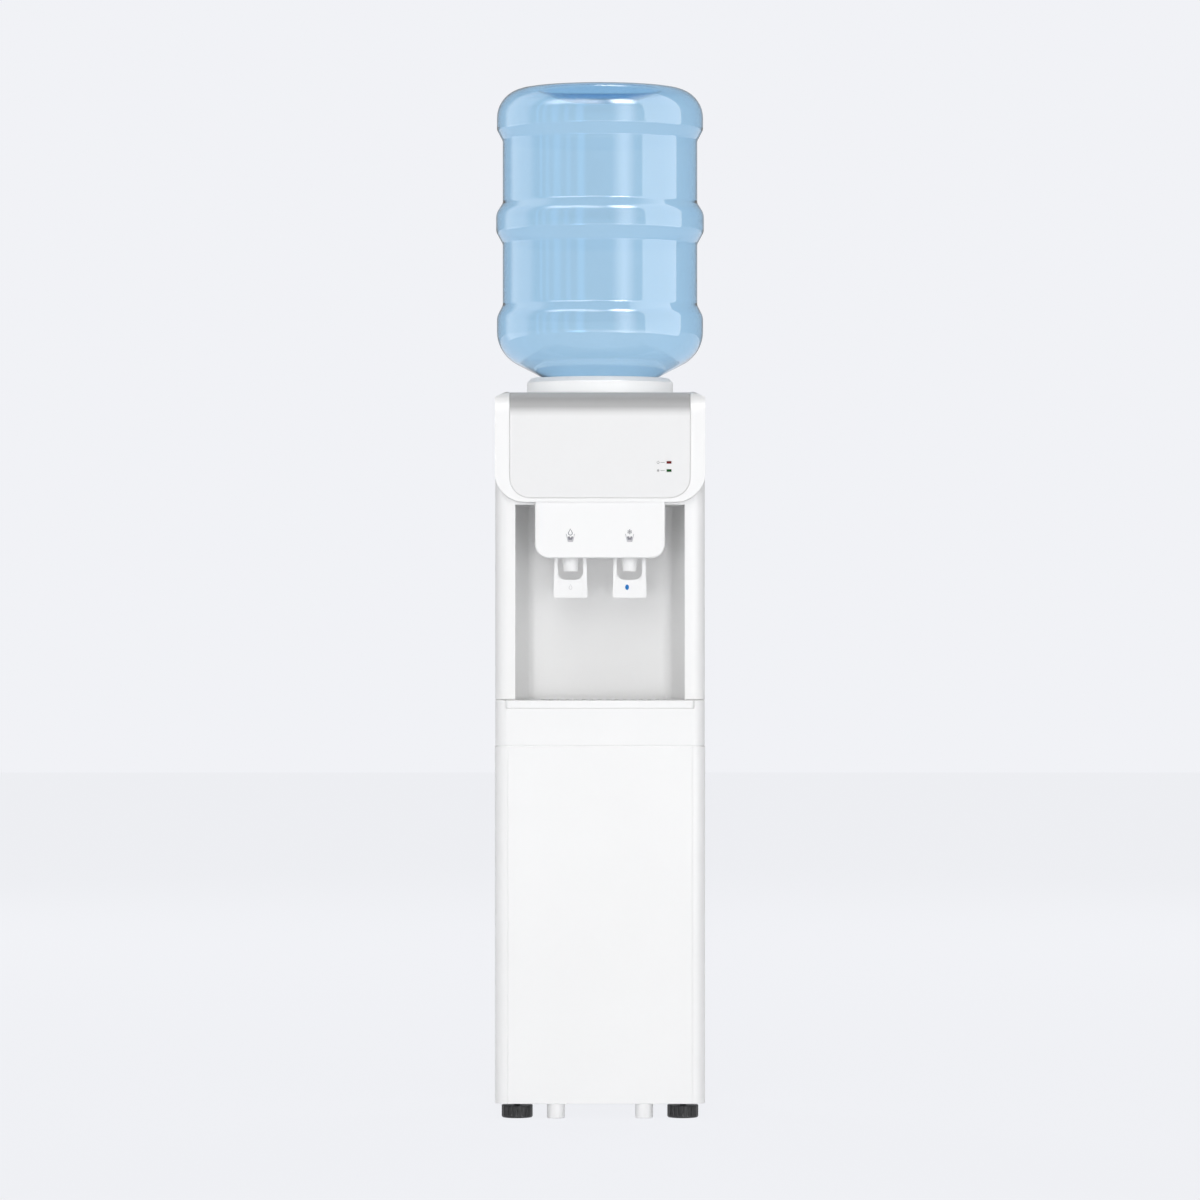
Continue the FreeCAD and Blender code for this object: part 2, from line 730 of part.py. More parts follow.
def bottle_profile(inset):
    """Half of the bottle's section, drawn in by a distance; the mouth stays open."""
    big = bottle_bulge_r - inset
    body = bottle_r - inset
    rib = bottle_rib_r - inset
    neck = neck_r - inset
    top = bottle_top_z - inset
    lift = inset * math.hypot(1, seat_slope)
    return [(0, top - bottle_hollow, 0),
            (48.0, top - bottle_hollow, 90.0 + inset),
            (80.0, top, 8.0 - inset),
            (big, top - 5.0, 38.0 - inset),
            (big, 1280.5, 10.0 - inset),
            (body, 1266.0, 8.0 + inset),
            (body, 1184.5, 8.0 + inset),
            (rib, 1171.0, 20.0 - inset),
            (rib, 1147.0, 14.0 - inset),
            (body, 1131.0, 8.0 + inset),
            (body, 1051.0, 8.0 + inset),
            (big, 1036.0, 20.0 - inset),
            (big, shoulder_height(big) + lift, 48.0 - inset),
            (neck, shoulder_height(neck) + lift, 6.0 + inset)]


def bottle():
    """The blown bottle, upside down, with a nearly even wall."""
    outer = turned(bottle_profile(0) + [(neck_r, neck_end_z, 0), (0, neck_end_z, 0)])
    inner = turned(bottle_profile(bottle_wall) + [(neck_r - bottle_wall, neck_end_z - 5.0, 0),
                                                  (0, neck_end_z - 5.0, 0)])
    return outer.cut(inner)


def bottle_cap():
    """A snap cap over the neck, with the valve opening that the spike enters."""
    outer_r = neck_r + 2.0
    hole_r = 9.2
    return turned([(hole_r, neck_end_z - 3.0, 0),
                   (outer_r, neck_end_z - 3.0, 1.0),
                   (outer_r, neck_end_z + 28.0, 0),
                   (neck_r, neck_end_z + 28.0, 0),
                   (neck_r, neck_end_z, 0),
                   (hole_r, neck_end_z, 0)])


def bottle_seat():
    """The white collar with the conical seat and the cup round the bottle's neck."""
    drop = seat_gap * math.hypot(1, seat_slope)
    seat_low_r = 39.5

    def seat_z(radius):
        return shoulder_height(radius) - drop

    lip_r = shoulder_r + (collar_top_z + drop - shoulder_z) / seat_slope
    return turned([(collar_r, side_top_z, 0),
                   (collar_r, collar_top_z - 6.0, 1.2),
                   (collar_r - 5.5, collar_top_z, 2.5),
                   (lip_r, collar_top_z, 0.8),
                   (seat_low_r, seat_z(seat_low_r), 0),
                   (cup_r, seat_z(seat_low_r) - 5.0, 0),
                   (cup_r, cup_z, 0),
                   (11.0, cup_z, 0),
                   (11.0, cup_z - wall, 0),
                   (cup_r + wall, cup_z - wall, 0),
                   (cup_r + wall, seat_z(seat_low_r) - 6.0, 0),
                   (72.0, seat_z(72.0) - 4.0, 0),
                   (collar_r - wall, collar_top_z - 8.0, 0),
                   (collar_r - wall, side_top_z, 0)])


def feed_spike():
    """The hollow spike that opens the bottle's cap, with side slots near its tip."""
    low = cup_z - 6.0
    spike_r = 8.6
    body = turned([(spike_bore, low, 0), (spike_r, low, 0), (spike_r, 898.0, 0), (3.0, 912.0, 2.0),
                   (0, 912.0, 0), (0, 908.0, 0), (2.0, 908.0, 0), (spike_bore, 897.0, 0)])
    flange = fuse(post(14.0, 0, 0, low, low + 3.0), post(11.0, 0, 0, low + 3.0, cup_z))
    shape = fuse(body, flange.cut(post(spike_bore, 0, 0, low, cup_z)))
    return shape.cut(box(-12.0, 12.0, -2.0, 2.0, 882.0, 894.0))


# ---------------------------------------------------------------------------
# Water tank
# ---------------------------------------------------------------------------

def cold_tank():
    """The open stainless pot with three bottom outlets."""
    shape = post(tank_r, 0, 0, tank_floor_z, tank_top_z)
    shape = shape.cut(post(tank_r - tank_wall, 0, 0, tank_floor_z + tank_wall, tank_top_z + 1))
    for x, y in outlets.values():
        shape = shape.fuse(post(outlet_r, x, y, 786.0, tank_floor_z + tank_wall))
        shape = shape.cut(post(outlet_bore, x, y, 780.0, tank_floor_z + 3.0))
    return shape.removeSplitter()


def tank_baffle():
    """The disc that keeps the cold water below, on four legs, with the ambient standpipe."""
    top = 850.0
    floor_z = tank_floor_z + tank_wall
    x, y = outlets["ambient"]
    disc = post(tank_r - 3.0, 0, 0, top - 2.0, top).cut(post(5.0, 0, 0, top - 5, top + 5))
    legs = [post(3.0, 70.0 * math.cos(math.radians(a)), 70.0 * math.sin(math.radians(a)),
                 floor_z, top - 2.0) for a in (0, 90, 180, 270)]
    pipe = post(6.2, x, y, floor_z, top + 6.0)
    return fuse(disc, pipe, *legs).cut(post(outlet_bore, x, y, floor_z - 1, top + 7.0))


def tank_foam(sign):
    """One half of the foam jacket; the rear slot lets the cooling tubes out."""
    jacket = turned([(0, foam_bottom_z, 0), (foam_r, foam_bottom_z, 6.0), (foam_r, side_top_z - 0.2, 3.0),
                     (tank_r + 1.0, side_top_z - 0.2, 0), (tank_r + 1.0, tank_top_z - 8.0, 0),
                     (coil_r + coil_tube + 0.8, tank_top_z - 8.0, 0),
                     (coil_r + coil_tube + 0.8, tank_floor_z, 0), (0, tank_floor_z, 0)])
    for x, y in outlets.values():
        jacket = jacket.cut(post(hose_r + 0.6, x, y, 780.0, tank_floor_z + 1))
    jacket = jacket.cut(box(-45.0, 45.0, 88.0, 130.0, foam_bottom_z - 1, tank_top_z - 10.0))
    x0, x1 = (-200.0, -0.1) if sign < 0 else (0.1, 200.0)
    return jacket.common(box(x0, x1, -200.0, 200.0, 700.0, 1000.0))


def tank_shelf():
    """The folded steel shelf between the side panels that carries the tank."""
    inner = half_width - sheet
    y0 = shell_back_y + 1.0
    y1 = 122.0
    top = shelf_z + plate_t
    shape = box(-inner, inner, y0, y1, shelf_z, top)
    for x0 in (-inner, inner - plate_t):
        shape = shape.fuse(box(x0, x0 + plate_t, y0, y1, top, shelf_z + 16.0))
    for x, y in outlets.values():
        shape = shape.cut(post(hose_r + 0.6, x, y, shelf_z - 1, shelf_z + 3.0))
    shape = shape.cut(post(condenser_tube_r + 1.5, lead_x, lead_y, shelf_z - 1, shelf_z + 3.0))
    return shape.cut(box(-45.0, 45.0, 98.0, 130.0, shelf_z - 1, shelf_z + 3.0)).removeSplitter()


def supply_hoses():
    """The silicone hoses from the tank's outlets down and forward to the taps' nipples."""
    hoses = [tube([(x, outlet_y, 797.0), (x, outlet_y, nipple_z), (x, -106.0, nipple_z)],
                  [22.0], hose_r, outlet_r) for x in (-tap_x, tap_x)]
    return Part.makeCompound(hoses)


def drain_hose():
    x, y = outlets["drain"]
    return tube([(x, y, 797.0), (x, y, 760.0), (drain_x, 80.0, 700.0), (drain_x, 80.0, drain_z),
                 (drain_x, back_y - 12.0, drain_z)], [26.0, 40.0, 26.0], hose_r, outlet_r)


def drain_outlet():
    """A short spigot through the back sheet, with a flange outside."""
    inside = bar_y(outlet_r, drain_x, back_y - 30.0, back_y - sheet, drain_z)
    flange = bar_y(12.0, drain_x, back_y, back_y + 2.5, drain_z)
    shank = bar_y(8.7, drain_x, back_y - 6.0, back_y, drain_z)
    spigot = bar_y(6.0, drain_x, back_y + 2.5, back_y + 11.0, drain_z)
    shape = fuse(inside, shank, flange, spigot)
    return shape.cut(bar_y(3.5, drain_x, back_y - 31.0, back_y + 12.0, drain_z))


def drain_cap():
    shape = bar_y(9.5, drain_x, back_y + 3.0, back_y + 15.0, drain_z)
    shape = shape.cut(bar_y(6.3, drain_x, back_y + 2.0, back_y + 11.6, drain_z))
    for i in range(12):
        angle = math.radians(30.0 * i)
        shape = shape.cut(bar_y(0.9, drain_x + 9.6 * math.cos(angle), back_y + 5.0, back_y + 16.0,
                                drain_z + 9.6 * math.sin(angle)))
    return shape


# ---------------------------------------------------------------------------
# Cooling circuit
# ---------------------------------------------------------------------------

def evaporator_coil():
    """The tube wound on the tank's wall."""
    helix = Part.makeHelix(coil_pitch, coil_pitch * coil_turns, coil_r)
    ring = Part.Wire(Part.makeCircle(coil_tube, vec(coil_r, 0, 0), vec(0, 1, 0)))
    coil = Part.Wire(helix.Edges).makePipeShell([ring], True, True)
    coil.rotate(vec(0, 0, 0), vec(0, 0, 1), 90)
    coil.translate(vec(0, 0, coil_start_z))
    return coil


def refrigerant_tubes():
    """The suction, discharge and liquid lines."""
    suction_x = -32.0
    suction_y = 109.0
    suction = tube([(-1.5, coil_r, coil_top_z), (-20.0, coil_r + 0.5, coil_top_z),
                    (suction_x, suction_y, coil_top_z), (suction_x, suction_y, 240.0),
                    (-stub_x, stub_y, 222.0), (-stub_x, stub_y, stub_top_z)],
                   [7.0, 5.0, 12.0, 8.0], coil_tube)
    discharge = tube([(stub_x, stub_y, stub_top_z), (stub_x, stub_y, 240.0), (lead_x, lead_y, 290.0),
                      (lead_x, lead_y, condenser_top_z), (lead_x, lead_end_y, condenser_top_z)],
                     [14.0, 25.0, 8.0], condenser_tube_r)
    liquid = tube([(-lead_x, lead_end_y, condenser_bottom_z), (-lead_x, lead_y, condenser_bottom_z),
                   (-lead_x, lead_y, drier_top_z)], [8.0], condenser_tube_r)
    return Part.makeCompound([suction, discharge, liquid])


def condenser_tube():
    """One unbroken serpentine with a lead through the back sheet at each end."""
    points = [(lead_x, lead_end_y, condenser_top_z), (lead_x, condenser_y, condenser_top_z)]
    bends = [9.0]
    turn = condenser_pitch / 2
    for i in range(condenser_runs - 1):
        z = condenser_top_z - i * condenser_pitch
        x = (condenser_half + turn) * (-1 if i % 2 == 0 else 1)
        points += [(x, condenser_y, z), (x, condenser_y, z - condenser_pitch)]
        bends += [turn - 0.01, turn - 0.01]
    points += [(-lead_x, condenser_y, condenser_bottom_z), (-lead_x, lead_end_y, condenser_bottom_z)]
    bends += [9.0]
    return tube(points, bends, condenser_tube_r)


def condenser_wires():
    """Upright wires on both faces of the serpentine."""
    offset = condenser_tube_r + wire_r + 0.02
    wires = []
    for i in range(wire_count):
        x = (i - (wire_count - 1) / 2) * wire_pitch
        for y in (condenser_y - offset, condenser_y + offset):
            wires.append(post(wire_r, x, y, condenser_bottom_z - 12.0, condenser_top_z + 12.0))
    return Part.makeCompound(wires)


def condenser_brackets():
    """Four clips that hold the condenser's tube off the back sheet, between two wires."""
    clips = []
    place = wire_pitch * 8.5
    for x in (-place, place):
        for z in (condenser_top_z - condenser_pitch * 2, condenser_bottom_z + condenser_pitch * 2):
            foot = box(x - 2.0, x + 2.0, back_y, rear_limit_y, z - 5.0, z + 5.0)
            pad = box(x - 8.0, x + 8.0, back_y, back_y + 1.5, z - 8.0, z + 8.0)
            clips.append(fuse(foot, pad).cut(bar_x(condenser_tube_r, x - 9.0, x + 9.0, condenser_y, z)))
    return Part.makeCompound(clips)


def compressor():
    """The sealed steel can on its foot plate, with two tube stubs."""
    can = turned([(0, compressor_bottom_z, 0), (compressor_r, compressor_bottom_z, 26.0),
                  (compressor_r, compressor_top_z, 44.0), (0, compressor_top_z, 0)], 0.0, compressor_y)
    seam = post(compressor_r + 3.0, 0, compressor_y, 128.0, 131.0)
    plate_x = 95.0
    plate_y = 58.0
    plate_top_z = foot_plate_z + foot_plate_t
    foot = plan([(-plate_x, compressor_y - plate_y, 8.0), (plate_x, compressor_y - plate_y, 8.0),
                 (plate_x, compressor_y + plate_y, 8.0), (-plate_x, compressor_y + plate_y, 8.0)],
                foot_plate_z, plate_top_z)
    saddle = post(40.0, 0, compressor_y, plate_top_z, plate_top_z + 12.0)
    stubs = [post(coil_tube + 1.0, x, stub_y, 170.0, stub_top_z) for x in (-stub_x, stub_x)]
    shape = fuse(can, seam, foot, saddle, *stubs)
    for x, y in grommet_places:
        shape = shape.cut(post(grommet_neck_r, x, y, foot_plate_z - 1, plate_top_z + 1))
    return shape


def grommets():
    """Four rubber mounts under and through the compressor's foot plate."""
    plate_top_z = foot_plate_z + foot_plate_t
    pieces = []
    for x, y in grommet_places:
        pieces.append(turned([(bolt_r, base_top_z, 0), (13.0, base_top_z, 1.0), (13.0, foot_plate_z, 1.0),
                              (grommet_neck_r, foot_plate_z, 0), (grommet_neck_r, plate_top_z, 0),
                              (11.0, plate_top_z, 0), (11.0, grommet_top_z, 1.0),
                              (bolt_r, grommet_top_z, 0)], x, y))
    return Part.makeCompound(pieces)


def relay_cover():
    """The terminal and relay cover on the compressor's side."""
    shape = plan([(50.0, compressor_y - 24.0, 0), (98.0, compressor_y - 24.0, 6.0),
                  (98.0, compressor_y + 24.0, 6.0), (50.0, compressor_y + 24.0, 0)], 66.0, 122.0)
    return shape.cut(post(compressor_r + 0.05, 0, compressor_y, 50.0, 140.0))


def filter_drier():
    """The copper cartridge between the condenser and the capillary tube."""
    return turned([(0, drier_bottom_z, 0), (3.0, drier_bottom_z, 0), (9.0, drier_bottom_z + 10.0, 3.0),
                   (9.0, drier_top_z - 8.0, 3.0), (condenser_tube_r + 0.6, drier_top_z, 0),
                   (0, drier_top_z, 0)], -lead_x, lead_y)


def capillary_tube():
    """The thin tube that feeds the coil on the tank."""
    rise_x = -60.0
    rise_y = 120.0
    turn_x = 32.0
    return tube([(-lead_x, lead_y, drier_bottom_z), (-lead_x, lead_y, 190.0), (rise_x, rise_y, 205.0),
                 (rise_x, rise_y, 760.0), (turn_x, rise_y, 782.0), (turn_x, 112.0, coil_start_z),
                 (turn_x / 2, coil_r + 0.3, coil_start_z), (1.5, coil_r, coil_start_z)],
                [8.0, 8.0, 20.0, 12.0, 6.0, 6.0], 1.2)


# ---------------------------------------------------------------------------
# Electrical pieces
# ---------------------------------------------------------------------------

def thermostat():
    """The control box behind the back sheet, with its shaft."""
    case = box(dial_x - 20.0, dial_x + 20.0, 112.0, back_y - sheet, dial_z - 15.0, dial_z + 15.0)
    bush = bar_y(5.6, dial_x, back_y - sheet, back_y + 2.0, dial_z)
    shaft = bar_y(dial_shaft_r, dial_x, back_y + 2.0, back_y + 8.0, dial_z)
    return fuse(case, bush, shaft)


def thermostat_knob():
    """A dial with a raised grip across it, on the thermostat's shaft."""
    low = back_y + 2.5
    shoulder = back_y + 8.0
    high = back_y + 14.0
    knob = bar_y(14.0, dial_x, low, high, dial_z)
    grip = box(dial_x - 2.5, dial_x + 2.5, shoulder, high, dial_z - 17.0, dial_z + 17.0)
    hub = bar_y(8.0, dial_x, shoulder - 1, high + 1, dial_z)
    step = bar_y(15.5, dial_x, shoulder, high + 1, dial_z).cut(grip).cut(hub)
    return knob.cut(step).cut(bar_y(dial_shaft_r + hinge_gap, dial_x, low - 1, back_y + 9.0, dial_z))


def switch_case():
    """The snap-in body of the cooling switch."""
    flange = box(switch_x - 13.5, switch_x + 13.5, back_y, back_y + 1.6, switch_z - 18.0, switch_z + 18.0)
    body = box(switch_x - 11.3, switch_x + 11.3, 118.0, back_y, switch_z - 15.8, switch_z + 15.8)
    well = box(switch_x - 9.5, switch_x + 9.5, 126.0, back_y + 2.0, switch_z - 13.5, switch_z + 13.5)
    blades = [box(switch_x - 3.0, switch_x + 3.0, 108.0, 118.0, switch_z + z, switch_z + z + 0.8)
              for z in (-8.0, 8.0)]
    shape = fuse(flange, body, *blades).cut(well)
    return fuse(shape, bar_x(1.5, switch_x - 9.5, switch_x + 9.5, switch_axis_y, switch_z))


def switch_rocker():
    """The rocking button; its two faces meet over the axle."""
    y0 = switch_axis_y - 3.5
    crown = 140.0
    tip = 142.5
    reach = 11.5
    shape = side([(y0, switch_z - 4.0, 0), (y0, switch_z + 4.0, 0), (crown - 3.0, switch_z + reach, 1.0),
                  (tip, switch_z + reach, 1.0), (crown, switch_z, 4.0), (crown - 1.0, switch_z - reach, 1.0),
                  (crown - 6.0, switch_z - reach, 1.0)], switch_x - 9.1, switch_x + 9.1)
    return shape.cut(bar_x(1.5 + hinge_gap, switch_x - 12.0, switch_x + 12.0, switch_axis_y, switch_z))


def mains_inlet():
    """An appliance inlet in the back sheet, with its three blades."""
    def block(half_w, half_h, y0, y1):
        return box(inlet_x - half_w, inlet_x + half_w, y0, y1, inlet_z - half_h, inlet_z + half_h)

    shape = fuse(block(17.0, 14.0, back_y, back_y + 2.5), block(15.5, 11.5, 116.0, back_y))
    shape = shape.cut(block(12.0, 8.0, 120.0, back_y + 3.0))
    blades = [box(x - 1.0, x + 1.0, 119.0, back_y - 2.0, inlet_z - 2.0, inlet_z + 2.5)
              for x in (inlet_x - 6.0, inlet_x, inlet_x + 6.0)]
    return fuse(shape, *blades)


# ---------------------------------------------------------------------------
# Feet
# ---------------------------------------------------------------------------

def levelling_foot(x):
    """A black screw-in foot with a fluted edge and a round stud."""
    shape = turned([(0, 0, 0), (foot_r - 1.0, 0, 0), (foot_r, 1.5, 0.8), (foot_r, foot_h, 1.2),
                    (0, foot_h, 0)], x, foot_y)
    flutes = 20
    for i in range(flutes):
        angle = 2 * math.pi * i / flutes
        shape = shape.cut(post(1.3, x + (foot_r + 0.5) * math.cos(angle),
                               foot_y + (foot_r + 0.5) * math.sin(angle), 3.0, foot_h + 1))
    return fuse(shape, post(stud_r, x, foot_y, foot_h, 46.0))


def hexagon(radius, x, y, z0, z1):
    corners = [math.radians(60 * i) for i in range(6)]
    return plan([(x + radius * math.cos(a), y + radius * math.sin(a), 0) for a in corners], z0, z1)


def base_fasteners():
    """The bolt through each rubber mount and the nut above each screw-in foot."""
    pieces = []
    for x, y in grommet_places:
        head = hexagon(7.0, x, y, grommet_top_z, grommet_top_z + 4.0)
        pieces.append(fuse(head, post(bolt_r, x, y, base_top_z, grommet_top_z)))
    for x in (-foot_x, foot_x):
        nut = hexagon(7.5, x, foot_y, base_top_z, base_top_z + 7.0)
        pieces.append(nut.cut(post(stud_r + hinge_gap, x, foot_y, 0, 60.0)))
    return Part.makeCompound(pieces)


def front_glides():
    """Two pale moulded stubs under the front edge."""
    glides = []
    for sign in (-1, 1):
        x = sign * glide_x
        stub = turned([(0, 0, 0), (glide_r, 0, 1.5), (glide_r, cabinet_bottom_z, 0),
                       (0, cabinet_bottom_z, 0)], x, glide_y)
        plug = post(glide_plug_r, x, glide_plug_y, base_floor_z, base_top_z + 4.0)
        arm = box(x - glide_plug_r, x + glide_plug_r, glide_y, glide_plug_y + glide_plug_r,
                  cabinet_bottom_z - 3.0, base_floor_z)
        glides.append(fuse(stub, arm, plug))
    return Part.makeCompound(glides)


def rear_feet():
    """Two fixed rubber feet at the back."""
    feet = []
    for sign in (-1, 1):
        x = sign * foot_x
        pad = turned([(0, 0, 0), (14.0, 0, 1.0), (15.0, base_floor_z, 0), (0, base_floor_z, 0)],
                     x, rear_foot_y)
        feet.append(fuse(pad, post(stud_r, x, rear_foot_y, base_floor_z, base_top_z + 8.0)))
    return Part.makeCompound(feet)


def back_screws():
    """Round-headed screws along both edges of the back sheet."""
    screws = []
    for sign in (-1, 1):
        x = sign * lead_x
        for z in (250.0, 430.0, 610.0, 770.0, 900.0):
            head = bar_y(3.6, x, back_y, back_y + 2.2, z)
            slot = box(x - 4.0, x + 4.0, back_y + 1.2, back_y + 3.0, z - 0.5, z + 0.5)
            screws.append(head.cut(slot))
    return Part.makeCompound(screws)


# ---------------------------------------------------------------------------
# Every piece in its own file
# ---------------------------------------------------------------------------

left_panel = side_panel()
save("side_panel_left", left_panel)
save("side_panel_right", mirror_x(left_panel))
save("lower_front_panel", lower_front_panel())
save("base_plate", base_plate())
save("back_panel", back_panel())
save("top_cover", top_cover())
save("head_shell", head_shell())
save("front_panel", front_panel())
for name, height in lens_z.items():
    save(name, indicator_lens(height))
save("indicator_board", indicator_board())
save("alcove_liner", alcove_liner())
save("tray_fascia", tray_fascia())
save("drip_tray", drip_tray())
save("drip_grille", drip_grille())
save("tap_housing", tap_housing())
for name, x in (("ambient", -tap_x), ("cold", tap_x)):
    save(name + "_tap_body", tap_body(x))
    save(name + "_plunger", plunger(x))
    save(name + "_valve_spring", valve_spring(x))
    save(name + "_lever", lever(x))
save("tap_bonnets", tap_bonnets())
save("supply_hoses", supply_hoses())
save("cold_lever_dot", lever_dot(tap_x))
save("bottle", bottle())
save("bottle_cap", bottle_cap())
save("bottle_seat", bottle_seat())
save("feed_spike", feed_spike())
save("cold_tank", cold_tank())
save("tank_baffle", tank_baffle())
save("tank_foam_left", tank_foam(-1))
save("tank_foam_right", tank_foam(1))
save("tank_shelf", tank_shelf())
save("drain_hose", drain_hose())
save("drain_outlet", drain_outlet())
save("drain_cap", drain_cap())
save("evaporator_coil", evaporator_coil())
save("refrigerant_tubes", refrigerant_tubes())
save("condenser_tube", condenser_tube())
save("condenser_wires", condenser_wires())
save("condenser_brackets", condenser_brackets())
save("compressor", compressor())
save("grommets", grommets())
save("base_fasteners", base_fasteners())
save("relay_cover", relay_cover())
save("filter_drier", filter_drier())
save("capillary_tube", capillary_tube())
save("thermostat", thermostat())
save("thermostat_knob", thermostat_knob())
save("switch_case", switch_case())
save("switch_rocker", switch_rocker())
save("mains_inlet", mains_inlet())
save("levelling_foot_left", levelling_foot(-foot_x))
save("levelling_foot_right", levelling_foot(foot_x))
save("front_glides", front_glides())
save("rear_feet", rear_feet())
save("back_screws", back_screws())
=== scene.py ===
"""Dresses the frame of a water cooler with an upturned bottle: finishes, pieces, light and camera."""

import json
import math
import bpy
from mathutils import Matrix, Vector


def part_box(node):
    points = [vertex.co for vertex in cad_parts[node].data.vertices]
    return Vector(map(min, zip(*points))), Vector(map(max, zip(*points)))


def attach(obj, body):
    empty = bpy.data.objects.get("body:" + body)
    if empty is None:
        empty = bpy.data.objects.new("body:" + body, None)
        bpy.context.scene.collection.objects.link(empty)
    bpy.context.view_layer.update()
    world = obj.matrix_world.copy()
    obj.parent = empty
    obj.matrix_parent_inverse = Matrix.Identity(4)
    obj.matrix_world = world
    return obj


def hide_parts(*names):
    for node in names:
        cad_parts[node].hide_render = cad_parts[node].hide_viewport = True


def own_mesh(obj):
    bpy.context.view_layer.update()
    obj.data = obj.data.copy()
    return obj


bl_info = {
    "name": "Top-load water cooler",
    "version": (1, 0, 0),
    "blender": (4, 5, 0),
    "location": "View3D > Sidebar > Cooler",
    "description": "Finishes, extra pieces, light and camera for a bottled water cooler",
    "category": "Object",
}

import bmesh
import bpy
from bpy.props import FloatProperty, FloatVectorProperty, IntProperty, PointerProperty
from mathutils import Vector

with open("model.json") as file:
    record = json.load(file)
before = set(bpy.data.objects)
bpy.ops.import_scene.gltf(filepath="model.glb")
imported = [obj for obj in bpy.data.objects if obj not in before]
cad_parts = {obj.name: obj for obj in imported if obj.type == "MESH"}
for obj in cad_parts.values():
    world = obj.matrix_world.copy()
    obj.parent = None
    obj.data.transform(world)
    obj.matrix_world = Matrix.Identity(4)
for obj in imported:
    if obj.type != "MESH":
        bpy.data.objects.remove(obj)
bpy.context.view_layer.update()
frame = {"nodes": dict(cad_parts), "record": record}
nodes = frame["nodes"]
body_of_node = {
    node: body
    for body, members in frame["record"]["behaviour"]["bodies"].items()
    for node in members
}
slot_of_node = {row["node"]: row["material_slot"] for row in frame["record"]["subparts"]}

# The bottle's shoulder and the seat under it are cones of one slope, placed by their height at one radius.
SHOULDER_SLOPE = 0.52
SHOULDER_RADIUS = 0.0806

# A node that keeps its own edges is dressed with no rounding.
NO_ROUNDING = 0.0


# ---------------------------------------------------------------------------
# Sizes and colours that a user would change
# ---------------------------------------------------------------------------

def colour_prop(name, description, default):
    return FloatVectorProperty(name=name, description=description, default=default,
                               size=3, min=0.0, max=1.0, subtype="COLOR")


def length_prop(name, description, default):
    return FloatProperty(name=name, description=description, default=default,
                         min=0.0, unit="LENGTH", precision=4)


class CoolerColours(bpy.types.PropertyGroup):
    """Colours of the cooler's finishes, as linear values."""

    white: colour_prop("White", "White mouldings", (0.930, 0.930, 0.927))
    enamel: colour_prop("Enamel", "Powder coat of the cabinet's sheets", (0.930, 0.930, 0.926))
    silver: colour_prop("Silver", "Front panel", (0.850, 0.850, 0.850))
    # Painted shade: the darker colour over the front panel's round top edge, which stands for its reflection
    # there.
    silver_painted_shade: colour_prop("Dark silver", "Front panel's round top edge", (0.400, 0.400, 0.402))
    bottle: colour_prop("Bottle", "Tint of each face of the bottle's wall", (0.800, 0.900, 0.960))
    # Deeper tint: the thick plastic of the pushed-in base, and painted shade on the slopes of the bands.
    bottle_deep_and_painted_shade: colour_prop("Deep bottle", "Tint where the bottle's wall is thick", (0.500, 0.720, 0.890))
    bottle_depth: colour_prop("Bottle depth", "What 1 cm of the bottle's plastic lets through",
                              (0.320, 0.566, 0.803))
    print_grey: colour_prop("Print", "Dark part of the printed signs", (0.200, 0.195, 0.225))
    print_pale: colour_prop("Pale print", "Pale part of the printed signs", (0.520, 0.510, 0.540))
    print_small: colour_prop("Small print", "Signs beside the lenses", (0.260, 0.260, 0.260))
    emboss: colour_prop("Emboss", "Raised sign on the room-temperature lever", (0.700, 0.700, 0.700))
    cold_blue: colour_prop("Cold blue", "Insert in the cold lever", (0.006, 0.170, 0.500))


class CoolerSizes(bpy.types.PropertyGroup):
    """Sizes of the details that the frame doesn't hold."""

    edge: length_prop("Edge", "Rounding of a moulding's edges", 0.0008)
    sheet_edge: length_prop("Sheet edge", "Rounding of a folded sheet's edges", 0.0004)
    bottle_wall: length_prop("Bottle wall", "Thickness of the bottle's wall", 0.0018)
    print_t: length_prop("Print thickness", "Thickness of a printed sign", 0.00012)
    turns: IntProperty(name="Turn steps", description="Steps of a full turn on round pieces",
                       default=128, min=24, max=256)


# ---------------------------------------------------------------------------
# Materials
# ---------------------------------------------------------------------------

def maths(tree, operation, *values):
    """The result of a Math node; each value is a socket or a number."""
    made = tree.nodes.new("ShaderNodeMath")
    made.operation = operation
    for index, value in enumerate(values):
        if isinstance(value, float):
            made.inputs[index].default_value = value
        else:
            tree.links.new(value, made.inputs[index])
    return made.outputs["Value"]


